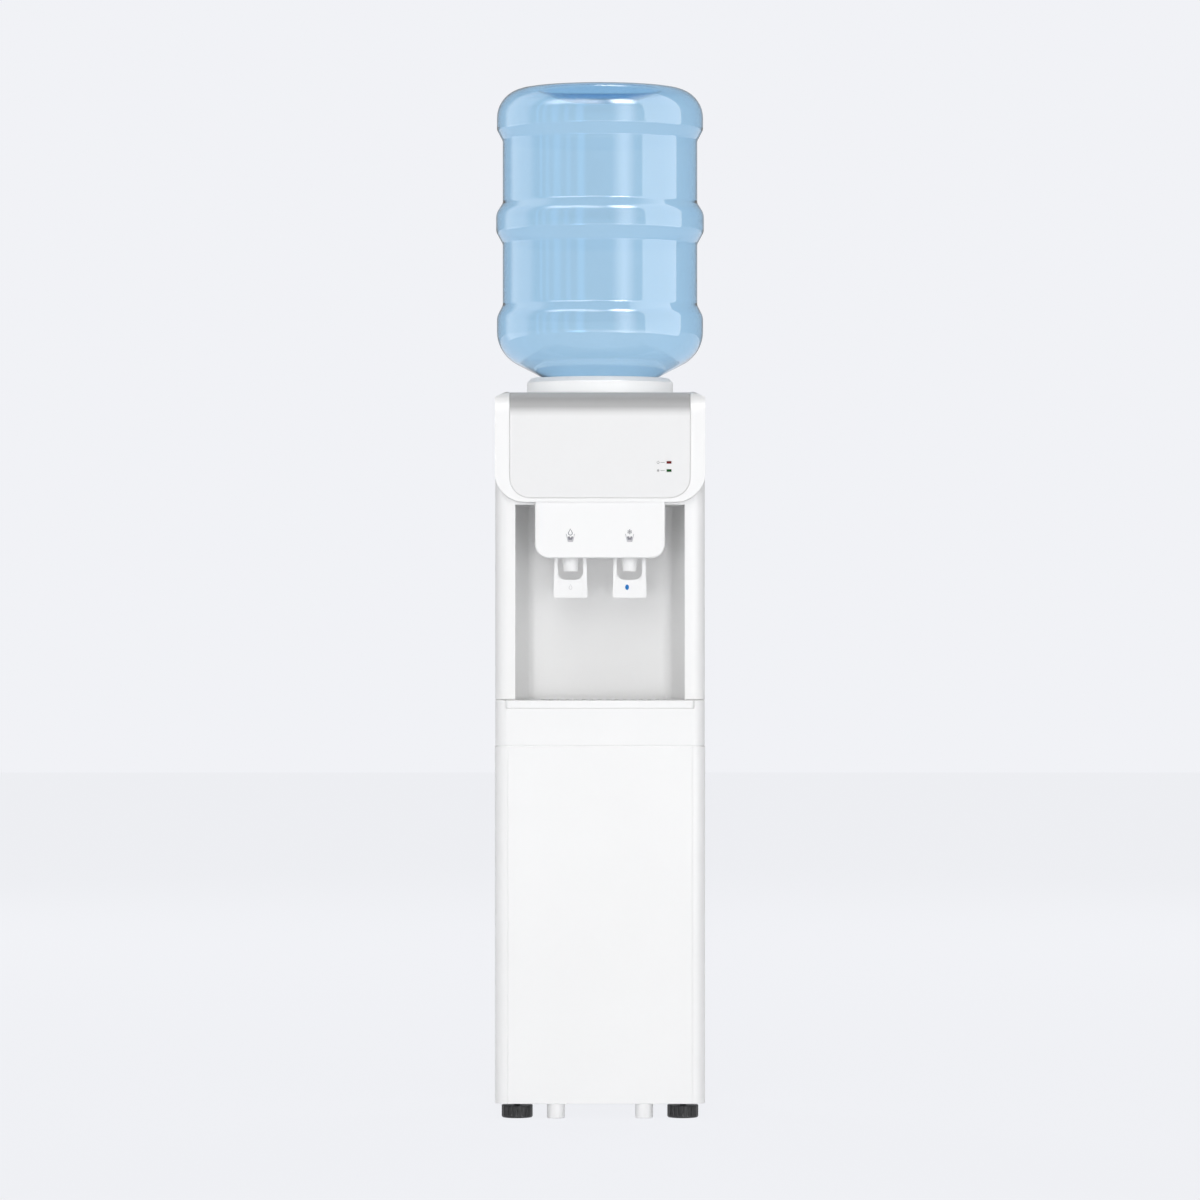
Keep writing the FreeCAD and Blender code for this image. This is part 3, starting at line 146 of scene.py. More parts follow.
class Finish:
    """A Principled material with the few node helpers that the finishes share."""

    def __init__(self, name, colour, roughness, **sockets):
        self.material = bpy.data.materials.new(name)
        self.material.use_nodes = True
        self.tree = self.material.node_tree
        self.shader = self.tree.nodes["Principled BSDF"]
        self.shader.inputs["Base Color"].default_value = (*colour, 1.0)
        self.shader.inputs["Roughness"].default_value = roughness
        for socket, value in sockets.items():
            self.shader.inputs[socket.replace("_", " ")].default_value = value
        self.place = self.tree.nodes.new("ShaderNodeTexCoord").outputs["Object"]

    def node(self, kind, **inputs):
        made = self.tree.nodes.new(kind)
        for socket, value in inputs.items():
            made.inputs[socket.replace("_", " ")].default_value = value
        return made

    def link(self, source, target):
        self.tree.links.new(source, target)

    def noise(self, scale, detail=2.0, stretch=(1.0, 1.0, 1.0)):
        """Noise at a scale in grains per metre, stretched along the axes."""
        mapping = self.node("ShaderNodeMapping", Scale=stretch)
        texture = self.node("ShaderNodeTexNoise", Scale=scale, Detail=detail)
        self.link(self.place, mapping.inputs["Vector"])
        self.link(mapping.outputs["Vector"], texture.inputs["Vector"])
        return texture.outputs["Fac"]

    def cells(self, scale):
        """The distance from the middle of each cell, at a scale in cells per metre."""
        texture = self.node("ShaderNodeTexVoronoi", Scale=scale)
        self.link(self.place, texture.inputs["Vector"])
        return texture.outputs["Distance"]

    def height(self):
        """The height above the floor."""
        split = self.node("ShaderNodeSeparateXYZ")
        self.link(self.place, split.inputs["Vector"])
        return split.outputs["Z"]

    def share(self, value, start, end):
        """0 to 1 while a value goes from start to end."""
        spread = self.node("ShaderNodeMapRange", From_Min=start, From_Max=end)
        self.link(value, spread.inputs["Value"])
        return spread.outputs["Result"]

    def vary_colour(self, factor, first, second):
        """The base colour goes from first to second with a 0 to 1 factor."""
        ramp = self.tree.nodes.new("ShaderNodeValToRGB")
        for stop, colour, position in zip(ramp.color_ramp.elements, (first, second), (0.3, 0.7)):
            stop.color = (*colour, 1.0)
            stop.position = position
        self.link(factor, ramp.inputs["Fac"])
        self.link(ramp.outputs["Color"], self.shader.inputs["Base Color"])
        return ramp

    def vary_roughness(self, factor, low, high):
        spread = self.node("ShaderNodeMapRange", To_Min=low, To_Max=high)
        self.link(factor, spread.inputs["Value"])
        self.link(spread.outputs["Result"], self.shader.inputs["Roughness"])

    def bump(self, height, strength, distance):
        made = self.node("ShaderNodeBump", Strength=strength, Distance=distance)
        self.link(height, made.inputs["Height"])
        self.link(made.outputs["Normal"], self.shader.inputs["Normal"])


def shade(colour, factor):
    return tuple(min(1.0, channel * factor) for channel in colour)


def moulded(name, colour, roughness):
    """Injection-moulded plastic: a fine spark-eroded grain and faint flow marks."""
    spread = 0.05
    finish = Finish(name, colour, roughness)
    flow = finish.noise(scale=9.0, detail=3.0, stretch=(1.0, 1.0, 0.35))
    finish.vary_colour(flow, shade(colour, 0.985), shade(colour, 1.005))
    finish.vary_roughness(flow, roughness - spread, roughness + spread)
    finish.bump(finish.noise(scale=2600.0, detail=1.0), strength=0.25, distance=0.00002)
    return finish.material


def powder_coat(name, colour, roughness):
    """Baked powder coat on sheet steel, with its orange peel."""
    spread = 0.04
    finish = Finish(name, colour, roughness, Coat_Weight=0.15, Coat_Roughness=0.2)
    broad = finish.noise(scale=6.0)
    finish.vary_colour(broad, shade(colour, 0.99), shade(colour, 1.004))
    finish.vary_roughness(broad, roughness - spread, roughness + spread)
    finish.bump(finish.noise(scale=700.0), strength=0.18, distance=0.00004)
    return finish.material


def zinc_sheet(name, colour):
    """Zinc-plated sheet with a faint spangle and rolling marks."""
    finish = Finish(name, colour, roughness=0.42, Metallic=0.85)
    finish.vary_colour(finish.cells(scale=110.0), shade(colour, 0.86), shade(colour, 1.08))
    rolled = finish.noise(scale=40.0, detail=3.0, stretch=(1.0, 1.0, 0.1))
    finish.vary_roughness(rolled, low=0.34, high=0.52)
    scratched = finish.noise(scale=320.0, detail=3.0, stretch=(1.0, 1.0, 0.15))
    finish.bump(scratched, strength=0.15, distance=0.00003)
    return finish.material


def drawn_metal(name, colour, roughness):
    """Drawn or brushed metal with fine lines and stains."""
    finish = Finish(name, colour, roughness, Metallic=1.0)
    finish.vary_colour(finish.noise(scale=45.0, detail=4.0), shade(colour, 0.78), shade(colour, 1.05))
    lines = finish.noise(scale=900.0, stretch=(0.08, 1.0, 1.0))
    finish.vary_roughness(lines, low=roughness - 0.08, high=roughness + 0.12)
    finish.bump(lines, strength=0.12, distance=0.00002)
    return finish.material


def rubber(name, colour):
    """Moulded rubber with dust in its pores."""
    finish = Finish(name, colour, roughness=0.34)
    finish.vary_colour(finish.noise(scale=220.0, detail=4.0), shade(colour, 0.75), shade(colour, 1.6))
    finish.bump(finish.noise(scale=1500.0), strength=0.2, distance=0.00003)
    return finish.material


def gloss_black(name, colour):
    """Stoved black enamel."""
    finish = Finish(name, colour, roughness=0.32, Coat_Weight=0.3, Coat_Roughness=0.15)
    finish.vary_colour(finish.noise(scale=30.0, detail=3.0), shade(colour, 0.8), shade(colour, 1.5))
    finish.bump(finish.noise(scale=600.0), strength=0.2, distance=0.00004)
    return finish.material


def foam_bead(name, colour):
    """Moulded bead foam."""
    finish = Finish(name, colour, roughness=0.8)
    beads = finish.cells(scale=320.0)
    finish.vary_colour(beads, colour, shade(colour, 0.9))
    finish.bump(beads, strength=0.4, distance=0.0004)
    return finish.material


def silver_panel(colours):
    """Satin silver, with painted shade that darkens it over the round top edge in place of its darker
    reflection.
    """
    pale = tuple(colours.silver)
    # dark is the painted shade over the round top edge; the stops below paint it in by height.
    dark = tuple(colours.silver_painted_shade)
    pale_up_to = 0.770
    painted_shade_stops = ((0.805, 0.78), (0.860, 0.0), (0.935, 0.0), (0.990, 0.45))
    finish = Finish("panel_silver", pale, roughness=0.5, Specular_IOR_Level=0.3)
    low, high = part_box("front_panel")
    ramp = finish.vary_colour(finish.share(finish.height(), low.z, high.z), pale, pale)
    ramp.color_ramp.elements[0].position = 0.0
    ramp.color_ramp.elements[1].position = pale_up_to
    for share_of_height, paleness in painted_shade_stops:
        stop = ramp.color_ramp.elements.new(share_of_height)
        stop.color = (*(d + (p - d) * paleness for p, d in zip(pale, dark)), 1.0)
    finish.vary_roughness(finish.noise(scale=12.0, detail=3.0), low=0.46, high=0.54)
    finish.bump(finish.noise(scale=3200.0, detail=1.0), strength=0.15, distance=0.00001)
    return finish.material


def painted_shade_slope_mask(finish, height, top):
    """A faint mask of painted shade on the slopes of the bottle's bands, which are given by their drops from
    its top.
    """
    reach = 0.4
    strength = 0.12
    fade = 0.003
    slopes = ((0.0560, 0.0700), (0.1515, 0.1645), (0.1895, 0.2045), (0.2850, 0.2985))
    ramp = finish.tree.nodes.new("ShaderNodeValToRGB")
    for stop in ramp.color_ramp.elements:
        stop.color = (0.0, 0.0, 0.0, 1.0)
    for start, end in slopes:
        for drop, value in ((start - fade, 0.0), (start, strength), (end, strength), (end + fade, 0.0)):
            stop = ramp.color_ramp.elements.new(drop / reach)
            stop.color = (value, value, value, 1.0)
    finish.link(finish.share(height, top, top - reach), ramp.inputs["Fac"])
    return ramp.outputs["Color"]


def base_mask(finish, height, top):
    """A mask that is 1 inside the bottle's pushed-in base."""
    rim_radius, inner_radius = 0.088, 0.074
    lowest, full = top - 0.030, top - 0.018
    flat = finish.node("ShaderNodeVectorMath")
    flat.operation = "MULTIPLY"
    flat.inputs[1].default_value = (1.0, 1.0, 0.0)
    finish.link(finish.place, flat.inputs[0])
    radius = finish.node("ShaderNodeVectorMath")
    radius.operation = "LENGTH"
    finish.link(flat.outputs["Vector"], radius.inputs[0])
    return maths(finish.tree, "MULTIPLY", finish.share(radius.outputs["Value"], rim_radius, inner_radius),
                 finish.share(height, lowest, full))


def blown_plastic(name, tint, deep_and_painted_shade, depth):
    """Clear tinted plastic: the faces carry part of the tint, the wall's thickness the rest.

    The faces are deeper in colour in the pushed-in base, where the plastic is thicker, and on the slopes
    of the bands, where the deeper colour is painted shade. The depth is what a centimetre of the plastic
    lets through.
    """
    centimetre = 0.01
    finish = Finish(name, tint, roughness=0.03, Transmission_Weight=1.0, IOR=1.45)
    waves = finish.noise(scale=14.0, stretch=(1.0, 1.0, 0.5))
    pale = finish.vary_colour(waves, shade(tint, 0.985), shade(tint, 1.01))
    finish.bump(waves, strength=0.06, distance=0.0006)
    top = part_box("bottle")[1].z
    height = finish.height()
    mix = finish.node("ShaderNodeMix")
    mix.data_type = "RGBA"
    # Painted shade on the band slopes, joined with the thick plastic of the pushed-in base.
    painted_shade_and_thick_base = maths(finish.tree, "MAXIMUM", painted_shade_slope_mask(finish, height, top), base_mask(finish, height, top))
    finish.link(painted_shade_and_thick_base, mix.inputs["Factor"])
    finish.link(pale.outputs["Color"], mix.inputs[6])
    mix.inputs[7].default_value = (*deep_and_painted_shade, 1.0)
    finish.link(mix.outputs[2], finish.shader.inputs["Base Color"])
    losses = [-math.log(channel) / centimetre for channel in depth]
    strongest = max(losses)
    wall = finish.node("ShaderNodeVolumeAbsorption", Density=strongest,
                       Color=(*(1.0 - loss / strongest for loss in losses), 1.0))
    finish.link(wall.outputs["Volume"], finish.tree.nodes["Material Output"].inputs["Volume"])
    return finish.material


def lens(name, colour):
    """A tinted window over an unlit lamp."""
    finish = Finish(name, colour, roughness=0.3, Specular_IOR_Level=0.25)
    finish.vary_colour(finish.noise(scale=500.0, detail=1.0), shade(colour, 0.85), shade(colour, 1.2))
    return finish.material


def printed(name, colour):
    """Screen-printed ink, a little uneven at its edges."""
    finish = Finish(name, colour, roughness=0.5)
    finish.vary_colour(finish.noise(scale=1800.0), shade(colour, 0.92), shade(colour, 1.08))
    return finish.material


def make_materials(colours):
    """One finish for each material slot of the record, and the inks of the signs."""
    white = tuple(colours.white)
    return {
        "white_enamel": powder_coat("white_enamel", tuple(colours.enamel), 0.38),
        "white_plastic": moulded("white_plastic", white, 0.34),
        "panel_grey": silver_panel(colours),
        "grille_plastic": moulded("grille_plastic", (0.72, 0.72, 0.73), 0.42),
        "red_lens": lens("red_lens", (0.140, 0.002, 0.003)),
        "green_lens": lens("green_lens", (0.001, 0.060, 0.005)),
        "circuit_board": moulded("circuit_board", (0.02, 0.12, 0.05), 0.4),
        "blue_insert": lens("blue_insert", tuple(colours.cold_blue)),
        "bottle_blue": blown_plastic("bottle_blue", tuple(colours.bottle), tuple(colours.bottle_deep_and_painted_shade),
                                     tuple(colours.bottle_depth)),
        "cap_plastic": moulded("cap_plastic", (0.78, 0.84, 0.90), 0.45),
        "clear_plastic": moulded("natural_plastic", (0.72, 0.76, 0.78), 0.3),
        "silicone": moulded("silicone", (0.72, 0.72, 0.68), 0.5),
        "stainless": drawn_metal("stainless", (0.60, 0.60, 0.61), 0.3),
        "foam": foam_bead("foam", (0.86, 0.86, 0.84)),
        "zinc_steel": zinc_sheet("zinc_steel", (0.56, 0.57, 0.58)),
        "black_enamel": gloss_black("black_enamel", (0.018, 0.018, 0.019)),
        "copper": drawn_metal("copper", (0.72, 0.36, 0.24), 0.32),
        "black_rubber": rubber("black_rubber", (0.022, 0.022, 0.023)),
        "black_plastic": moulded("black_plastic", (0.025, 0.025, 0.027), 0.42),
        "drain_plastic": moulded("drain_plastic", (0.74, 0.74, 0.74), 0.4),
        "dark_print": printed("dark_print", tuple(colours.print_grey)),
        "pale_print": printed("pale_print", tuple(colours.print_pale)),
        "small_print": printed("small_print", tuple(colours.print_small)),
        "emboss": printed("emboss", tuple(colours.emboss)),
    }


materials = {}


# ---------------------------------------------------------------------------
# Building blocks
# ---------------------------------------------------------------------------

def put_piece(name, mesh_data, body, material, replaced=(), smooth=35.0):
    """Makes a finished object from a bmesh, on its body and with its material."""
    mesh = bpy.data.meshes.new(name)
    mesh_data.to_mesh(mesh)
    mesh_data.free()
    mesh.shade_smooth()
    mesh.set_sharp_from_angle(angle=math.radians(smooth))
    mesh.materials.append(material)
    piece = bpy.data.objects.new(name, mesh)
    bpy.context.scene.collection.objects.link(piece)
    normals = piece.modifiers.new("normals", "WEIGHTED_NORMAL")
    normals.keep_sharp = True
    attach(piece, body)
    if replaced:
        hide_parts(*replaced)
    return piece


def dress(node, edge):
    """A merged copy of a node's mesh with its sharp edges rounded, which stands for the node."""
    doubles = 2e-6
    flat_angle, sharp_angle = math.radians(0.6), math.radians(38.0)
    mesh_data = bmesh.new()
    mesh_data.from_mesh(nodes[node].data)
    bmesh.ops.remove_doubles(mesh_data, verts=mesh_data.verts, dist=doubles)
    bmesh.ops.dissolve_limit(mesh_data, angle_limit=flat_angle, use_dissolve_boundaries=False,
                             verts=mesh_data.verts, edges=mesh_data.edges)
    if edge:
        sharp = [e for e in mesh_data.edges
                 if len(e.link_faces) == 2 and e.calc_face_angle(0.0) > sharp_angle]
        bmesh.ops.bevel(mesh_data, geom=sharp, offset=edge, offset_type="OFFSET", segments=2,
                        profile=0.5, affect="EDGES", clamp_overlap=True, material=-1)
    slot = slot_of_node[node]
    return put_piece(node + "_dressed", mesh_data, body_of_node[node], materials[slot], (node,))


def arc_points(before, corner, after, radius, steps):
    """Points along the arc that rounds a corner."""
    toward = (before - corner).normalized()
    away = (after - corner).normalized()
    half = toward.angle(away) / 2
    reach = radius / math.tan(half)
    centre = corner + (toward + away).normalized() * (radius / math.sin(half))
    start = corner + toward * reach - centre
    end = corner + away * reach - centre
    sweep = start.angle(end)
    return [centre + (start * math.sin(sweep * (1 - i / steps)) + end * math.sin(sweep * i / steps))
            / math.sin(sweep) for i in range(steps + 1)]


def rounded_line(corners, steps, closed=False):
    """Points along a line of (a, b, rounding) corners, as 2D vectors."""
    points = [Vector((a, b)) for a, b, _ in corners]
    count = len(points)
    line = []
    for i, (a, b, radius) in enumerate(corners):
        if radius == 0 or (not closed and i in (0, count - 1)):
            line.append(points[i])
        else:
            line += arc_points(points[i - 1], points[i], points[(i + 1) % count], radius, steps)
    return line


def spun(line, steps, closed=False):
    """A round body: a line of (radius, height) points turned about the bottle's axis."""
    doubles = 1e-6
    mesh_data = bmesh.new()
    verts = [mesh_data.verts.new((p.x, 0.0, p.y)) for p in line]
    pairs = list(zip(verts, verts[1:])) + ([(verts[-1], verts[0])] if closed else [])
    edges = [mesh_data.edges.new(pair) for pair in pairs]
    bmesh.ops.spin(mesh_data, geom=verts + edges, cent=(0, 0, 0), axis=(0, 0, 1),
                   angle=2 * math.pi, steps=steps, use_merge=True)
    bmesh.ops.remove_doubles(mesh_data, verts=mesh_data.verts, dist=doubles)
    bmesh.ops.recalc_face_normals(mesh_data, faces=mesh_data.faces)
    return mesh_data


def add_slab(mesh_data, points, depth, y):
    """Adds a flat closed outline of (x, z) points at y, with a depth towards -Y."""
    verts = [mesh_data.verts.new((p[0], y, p[1])) for p in points]
    face = mesh_data.faces.new(verts)
    grown = bmesh.ops.extrude_face_region(mesh_data, geom=[face])
    moved = [v for v in grown["geom"] if isinstance(v, bmesh.types.BMVert)]
    bmesh.ops.translate(mesh_data, verts=moved, vec=(0, -depth, 0))
    bmesh.ops.recalc_face_normals(mesh_data, faces=mesh_data.faces)


def add_rail(mesh_data, sections, closed=False):
    """Adds a bar of four-cornered section through a row of sections."""
    rings = [[mesh_data.verts.new(point) for point in section] for section in sections]
    pairs = list(zip(rings, rings[1:])) + ([(rings[-1], rings[0])] if closed else [])
    for first, second in pairs:
        for i in range(4):
            j = (i + 1) % 4
            mesh_data.faces.new((first[i], first[j], second[j], second[i]))
    if not closed:
        mesh_data.faces.new(rings[0])
        mesh_data.faces.new(rings[-1][::-1])
    bmesh.ops.recalc_face_normals(mesh_data, faces=mesh_data.faces)


def add_box(mesh_data, x, y, z):
    """Adds a block between pairs of x, y and z."""
    add_rail(mesh_data, [[(x[i], y[0], z[0]), (x[i], y[1], z[0]), (x[i], y[1], z[1]), (x[i], y[0], z[1])]
                         for i in (0, 1)])


def shoulder_rise(radius):
    """How far the shoulder's cone lies above the height that places it."""
    return (radius - SHOULDER_RADIUS) * SHOULDER_SLOPE


def sideways(points, closed):
    """Unit vectors across a line of 2D points, to its left."""
    count = len(points)
    across = []
    for i, point in enumerate(points):
        before = points[i - 1] if closed or i > 0 else point
        after = points[(i + 1) % count] if closed or i < count - 1 else point
        along = (after - before).normalized()
        across.append(Vector((-along.y, along.x)))
    return across


class Sign:
    """Thin raised strokes and fills on an upright face, in millimetres about a centre."""

    millimetre = 0.001

    def __init__(self, x, y, z, depth):
        self.mesh_data = bmesh.new()
        self.centre = Vector((x, z))
        self.y = y
        self.depth = depth

    def place(self, points):
        return [self.centre + Vector(point) * self.millimetre for point in points]

    def stroke(self, points, width, closed=False):
        line = self.place(points)
        half = width * self.millimetre / 2
        sections = []
        for point, across in zip(line, sideways(line, closed)):
            left, right = point + across * half, point - across * half
            sections.append([(left.x, self.y, left.y), (right.x, self.y, right.y),
                             (right.x, self.y - self.depth, right.y), (left.x, self.y - self.depth, left.y)])
        add_rail(self.mesh_data, sections, closed)

    def fill(self, points):
        add_slab(self.mesh_data, self.place(points), self.depth, self.y)

    def drop(self, low, radius, height, width):
        """The outline of a water drop that stands on its round end."""
        steps = 20
        open_angle = math.acos(radius / (height - radius))
        start = math.pi / 2 - open_angle
        sweep = 2 * math.pi - 2 * open_angle
        turns = [start - sweep * i / steps for i in range(steps + 1)]
        arc = [(radius * math.cos(turn), low + radius + radius * math.sin(turn)) for turn in turns]
        self.stroke([(0.0, low + height)] + arc, width, True)

    def flake(self, middle, reach, width):
        """A snow crystal of three crossed bars with a pair of barbs at each end."""
        barb_root, barb_length, barb_angle, barb_width = 0.55, 0.36, 0.9, 0.8
        for i in range(3):
            angle = math.radians(90 + 60 * i)
            arm = Vector((math.cos(angle), math.sin(angle))) * reach
            self.stroke([(-arm.x, middle - arm.y), (arm.x, middle + arm.y)], width)
            for end in (-1, 1):
                root = arm * end * barb_root
                for turn in (angle - barb_angle, angle + barb_angle):
                    tip = root + Vector((math.cos(turn), math.sin(turn))) * end * reach * barb_length
                    self.stroke([(root.x, middle + root.y), (tip.x, middle + tip.y)], width * barb_width)

    def finish(self, name, body, slot, material):
        return put_piece(name, self.mesh_data, body, material)


# ---------------------------------------------------------------------------
# Operators, one for each piece or group of like pieces
# ---------------------------------------------------------------------------

class COOLER_OT_finishes(bpy.types.Operator):
    """Makes the materials and gives every node the finish of its slot"""

    bl_idname = "cooler.finishes"
    bl_label = "Finishes"

    def execute(self, context):
        materials.update(make_materials(context.scene.cooler_colours))
        for name, node in nodes.items():
            node.data.materials.clear()
            node.data.materials.append(materials[slot_of_node[name]])
        return {"FINISHED"}


class COOLER_OT_bottle(bpy.types.Operator):
    """Blows the blue bottle with its three bands and pushed-in base"""

    bl_idname = "cooler.bottle"
    bl_label = "Bottle"

    base_depth, base_floor_radius, base_rim_radius = 0.016, 0.048, 0.080
    bulge_step, body_step = 0.0011, 0.0087
    neck_radius = 0.0275
    shoulder_drop = 0.3767
    arc_steps = 10
    smooth_angle = 60.0

    def profile(self, inset):
        """Half section from the base's middle to the mouth, drawn in by a distance."""
        low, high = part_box("bottle")
        top = high.z - inset
        rib = high.x - inset
        bulge = rib - self.bulge_step
        body = rib - self.body_step
        neck = self.neck_radius - inset
        lift = inset * math.hypot(1.0, SHOULDER_SLOPE)

        def shoulder(radius):
            return high.z - self.shoulder_drop + shoulder_rise(radius) + lift

        outward, inward = -inset, inset
        base = [(0.0, top - self.base_depth, 0),
                (self.base_floor_radius, top - self.base_depth, 0.090 + inward),
                (self.base_rim_radius, top, 0.008 + outward), (bulge, top - 0.005, 0.038 + outward)]
        drops = [(bulge, 0.0553, 0.010 + outward), (body, 0.0698, 0.008 + inward),
                 (body, 0.1513, 0.008 + inward), (rib, 0.1648, 0.020 + outward),
                 (rib, 0.1888, 0.014 + outward), (body, 0.2048, 0.008 + inward),
                 (body, 0.2848, 0.008 + inward), (bulge, 0.2998, 0.020 + outward)]
        bands = [(radius, high.z - drop, rounding) for radius, drop, rounding in drops]
        return base + bands + [(bulge, shoulder(bulge), 0.048 + outward),
                               (neck, shoulder(neck), 0.006 + inward), (neck, low.z, 0)]

    def execute(self, context):
        sizes = context.scene.cooler_sizes
        outer = rounded_line(self.profile(0.0), self.arc_steps)
        inner = rounded_line(self.profile(sizes.bottle_wall), self.arc_steps)
        wall = outer + inner[::-1]
        put_piece("bottle_blown", spun(wall, sizes.turns), "bottle",
                  materials["bottle_blue"], ("bottle",), self.smooth_angle)
        dress("bottle_cap", sizes.edge)
        return {"FINISHED"}


class COOLER_OT_collar(bpy.types.Operator):
    """Turns the white collar, with its seat, its cup and the fine groove under its chamfer"""

    bl_idname = "cooler.collar"
    bl_label = "Collar"

    wall = 0.003
    skirt_z = 0.9211
    groove_drop, groove_depth, groove_half, groove_flat = 0.0077, 0.0006, 0.0004, 0.0002
    mouth_radius, throat_radius, cup_radius, hole_radius = 0.0734, 0.0395, 0.036, 0.011
    seat_rise = 0.00375
    arc_steps = 5
    smooth_angle = 50.0

    def profile(self):
        """The section through one side, as a closed line from the skirt's outside."""
        low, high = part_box("bottle_seat")
        rim, top = high.x, high.z
        cup_z = low.z + self.wall
        cup_outside = self.cup_radius + self.wall

        def seat(radius):
            return top + self.seat_rise + shoulder_rise(radius)

        throat_z = seat(self.throat_radius)
        under_r = 0.072
        groove_z, groove_r = top - self.groove_drop, rim - self.groove_depth
        outside = [(rim, self.skirt_z, 0), (rim, groove_z - self.groove_half, 0),
                   (groove_r, groove_z - self.groove_flat, 0), (groove_r, groove_z + self.groove_flat, 0),
                   (rim, groove_z + self.groove_half, 0), (rim, top - 0.006, 0.0012),
                   (rim - 0.0055, top, 0.0025), (self.mouth_radius, top, 0.0008)]
        cup = [(self.throat_radius, throat_z, 0), (self.cup_radius, throat_z - 0.005, 0),
               (self.cup_radius, cup_z, 0), (self.hole_radius, cup_z, 0), (self.hole_radius, low.z, 0),
               (cup_outside, low.z, 0), (cup_outside, throat_z - 0.006, 0)]
        underside = [(under_r, seat(under_r) - 0.004, 0), (rim - self.wall, top - 0.0095, 0),
                     (rim - self.wall, self.skirt_z, 0)]
        return outside + cup + underside

    def execute(self, context):
        sizes = context.scene.cooler_sizes
        piece = spun(rounded_line(self.profile(), self.arc_steps, True), sizes.turns, True)
        put_piece("collar_turned", piece, "cabinet", materials["white_plastic"],
                  ("bottle_seat",), self.smooth_angle)
        dress("top_cover", sizes.edge)
        return {"FINISHED"}


class COOLER_OT_head(bpy.types.Operator):
    """Dresses the head shell, its silver panel and the indicator lenses"""

    bl_idname = "cooler.head"
    bl_label = "Head"

    lens_edge = 0.0003

    def execute(self, context):
        sizes = context.scene.cooler_sizes
        dress("head_shell", sizes.edge)
        dress("front_panel", sizes.sheet_edge)
        for node in ("power_lens", "cold_lens"):
            dress(node, self.lens_edge)
        return {"FINISHED"}


class COOLER_OT_alcove(bpy.types.Operator):
    """Dresses the alcove liner, the fascia, the drip tray and its grille"""

    bl_idname = "cooler.alcove"
    bl_label = "Alcove and tray"

    def execute(self, context):
        sizes = context.scene.cooler_sizes
        dress("alcove_liner", sizes.edge)
        dress("tray_fascia", NO_ROUNDING)
        dress("drip_tray", NO_ROUNDING)
        dress("drip_grille", sizes.sheet_edge)
        return {"FINISHED"}


class COOLER_OT_taps(bpy.types.Operator):
    """Dresses the tap housing, spouts, levers and valve springs, and gives each spring a mesh of its own"""

    bl_idname = "cooler.taps"
    bl_label = "Taps and levers"

    valve_travel = 0.004

    def execute(self, context):
        sizes = context.scene.cooler_sizes
        dress("tap_housing", NO_ROUNDING)
        for side in ("ambient", "cold"):
            dress(side + "_tap_body", sizes.sheet_edge)
            dress(side + "_lever", sizes.edge)
            spring = dress(side + "_valve_spring", NO_ROUNDING)
            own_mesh(spring)
        return {"FINISHED"}


class COOLER_OT_cabinet(bpy.types.Operator):
    """Dresses the cabinet's sheets"""

    bl_idname = "cooler.cabinet"
    bl_label = "Cabinet"

    def execute(self, context):
        sizes = context.scene.cooler_sizes
        for node in ("side_panel_left", "side_panel_right", "back_panel"):
            dress(node, sizes.sheet_edge)
        dress("lower_front_panel", NO_ROUNDING)
        return {"FINISHED"}


class COOLER_OT_feet(bpy.types.Operator):
    """Dresses the feet and the pale stubs"""

    bl_idname = "cooler.feet"
    bl_label = "Feet"

    def execute(self, context):
        for node in ("levelling_foot_left", "levelling_foot_right", "front_glides", "rear_feet"):
            dress(node, NO_ROUNDING)
        return {"FINISHED"}


class COOLER_OT_seams(bpy.types.Operator):
    """Fills the joints between the front mouldings a little below their faces"""

    bl_idname = "cooler.seams"
    bl_label = "Seams"

    cabinet_corner = 0.0165
    wrap_inset, wrap_t, wrap_back_y, wrap_steps = 0.0012, 0.002, -0.100, 8
    filler_depth = 0.003
    side_recess = 0.00012
    lip_recess, lip_clearance, lip_gap, lip_foot_z, lip_head_drop = 0.00004, 0.00005, 0.0006, 0.5258, 0.0002
    sill_recess, sill_z = 0.0004, (0.5252, 0.52575)

    def wrap(self, mesh_data, z):
        """A thin band round the front and both rounded corners, drawn in from the faces."""
        low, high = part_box("tray_fascia")
        half, front = high.x - self.wrap_inset, low.y + self.wrap_inset
        lines = []
        for step in (0.0, self.wrap_t):
            corner = self.cabinet_corner - self.wrap_inset - step
            lines.append(rounded_line(
                [(-half + step, self.wrap_back_y, 0), (-half + step, front + step, corner),
                 (half - step, front + step, corner), (half - step, self.wrap_back_y, 0)], self.wrap_steps))
        add_rail(mesh_data, [[(p.x, p.y, z[0]), (p.x, p.y, z[1]), (q.x, q.y, z[1]), (q.x, q.y, z[0])]
                             for p, q in zip(*lines)])

    def execute(self, context):
        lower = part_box("lower_front_panel")
        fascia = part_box("tray_fascia")
        side_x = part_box("side_panel_right")[0].x
        lip_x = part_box("drip_tray")[1].x
        front = lower[0].y
        back = front + self.filler_depth
        seam = bmesh.new()
        self.wrap(seam, (lower[1].z, fascia[0].z))
        for sign in (-1, 1):
            add_box(seam, sorted((sign * lower[1].x, sign * side_x)), (front + self.side_recess, back),
                    (lower[0].z, lower[1].z))
            add_box(seam, sorted((sign * (lip_x + self.lip_clearance), sign * (lip_x + self.lip_gap))),
                    (front + self.lip_recess, back), (self.lip_foot_z, fascia[1].z - self.lip_head_drop))
        add_box(seam, (-lip_x - self.lip_gap, lip_x + self.lip_gap), (front + self.sill_recess, back),
                self.sill_z)
        put_piece("front_seams", seam, "cabinet", materials["white_enamel"])
        return {"FINISHED"}


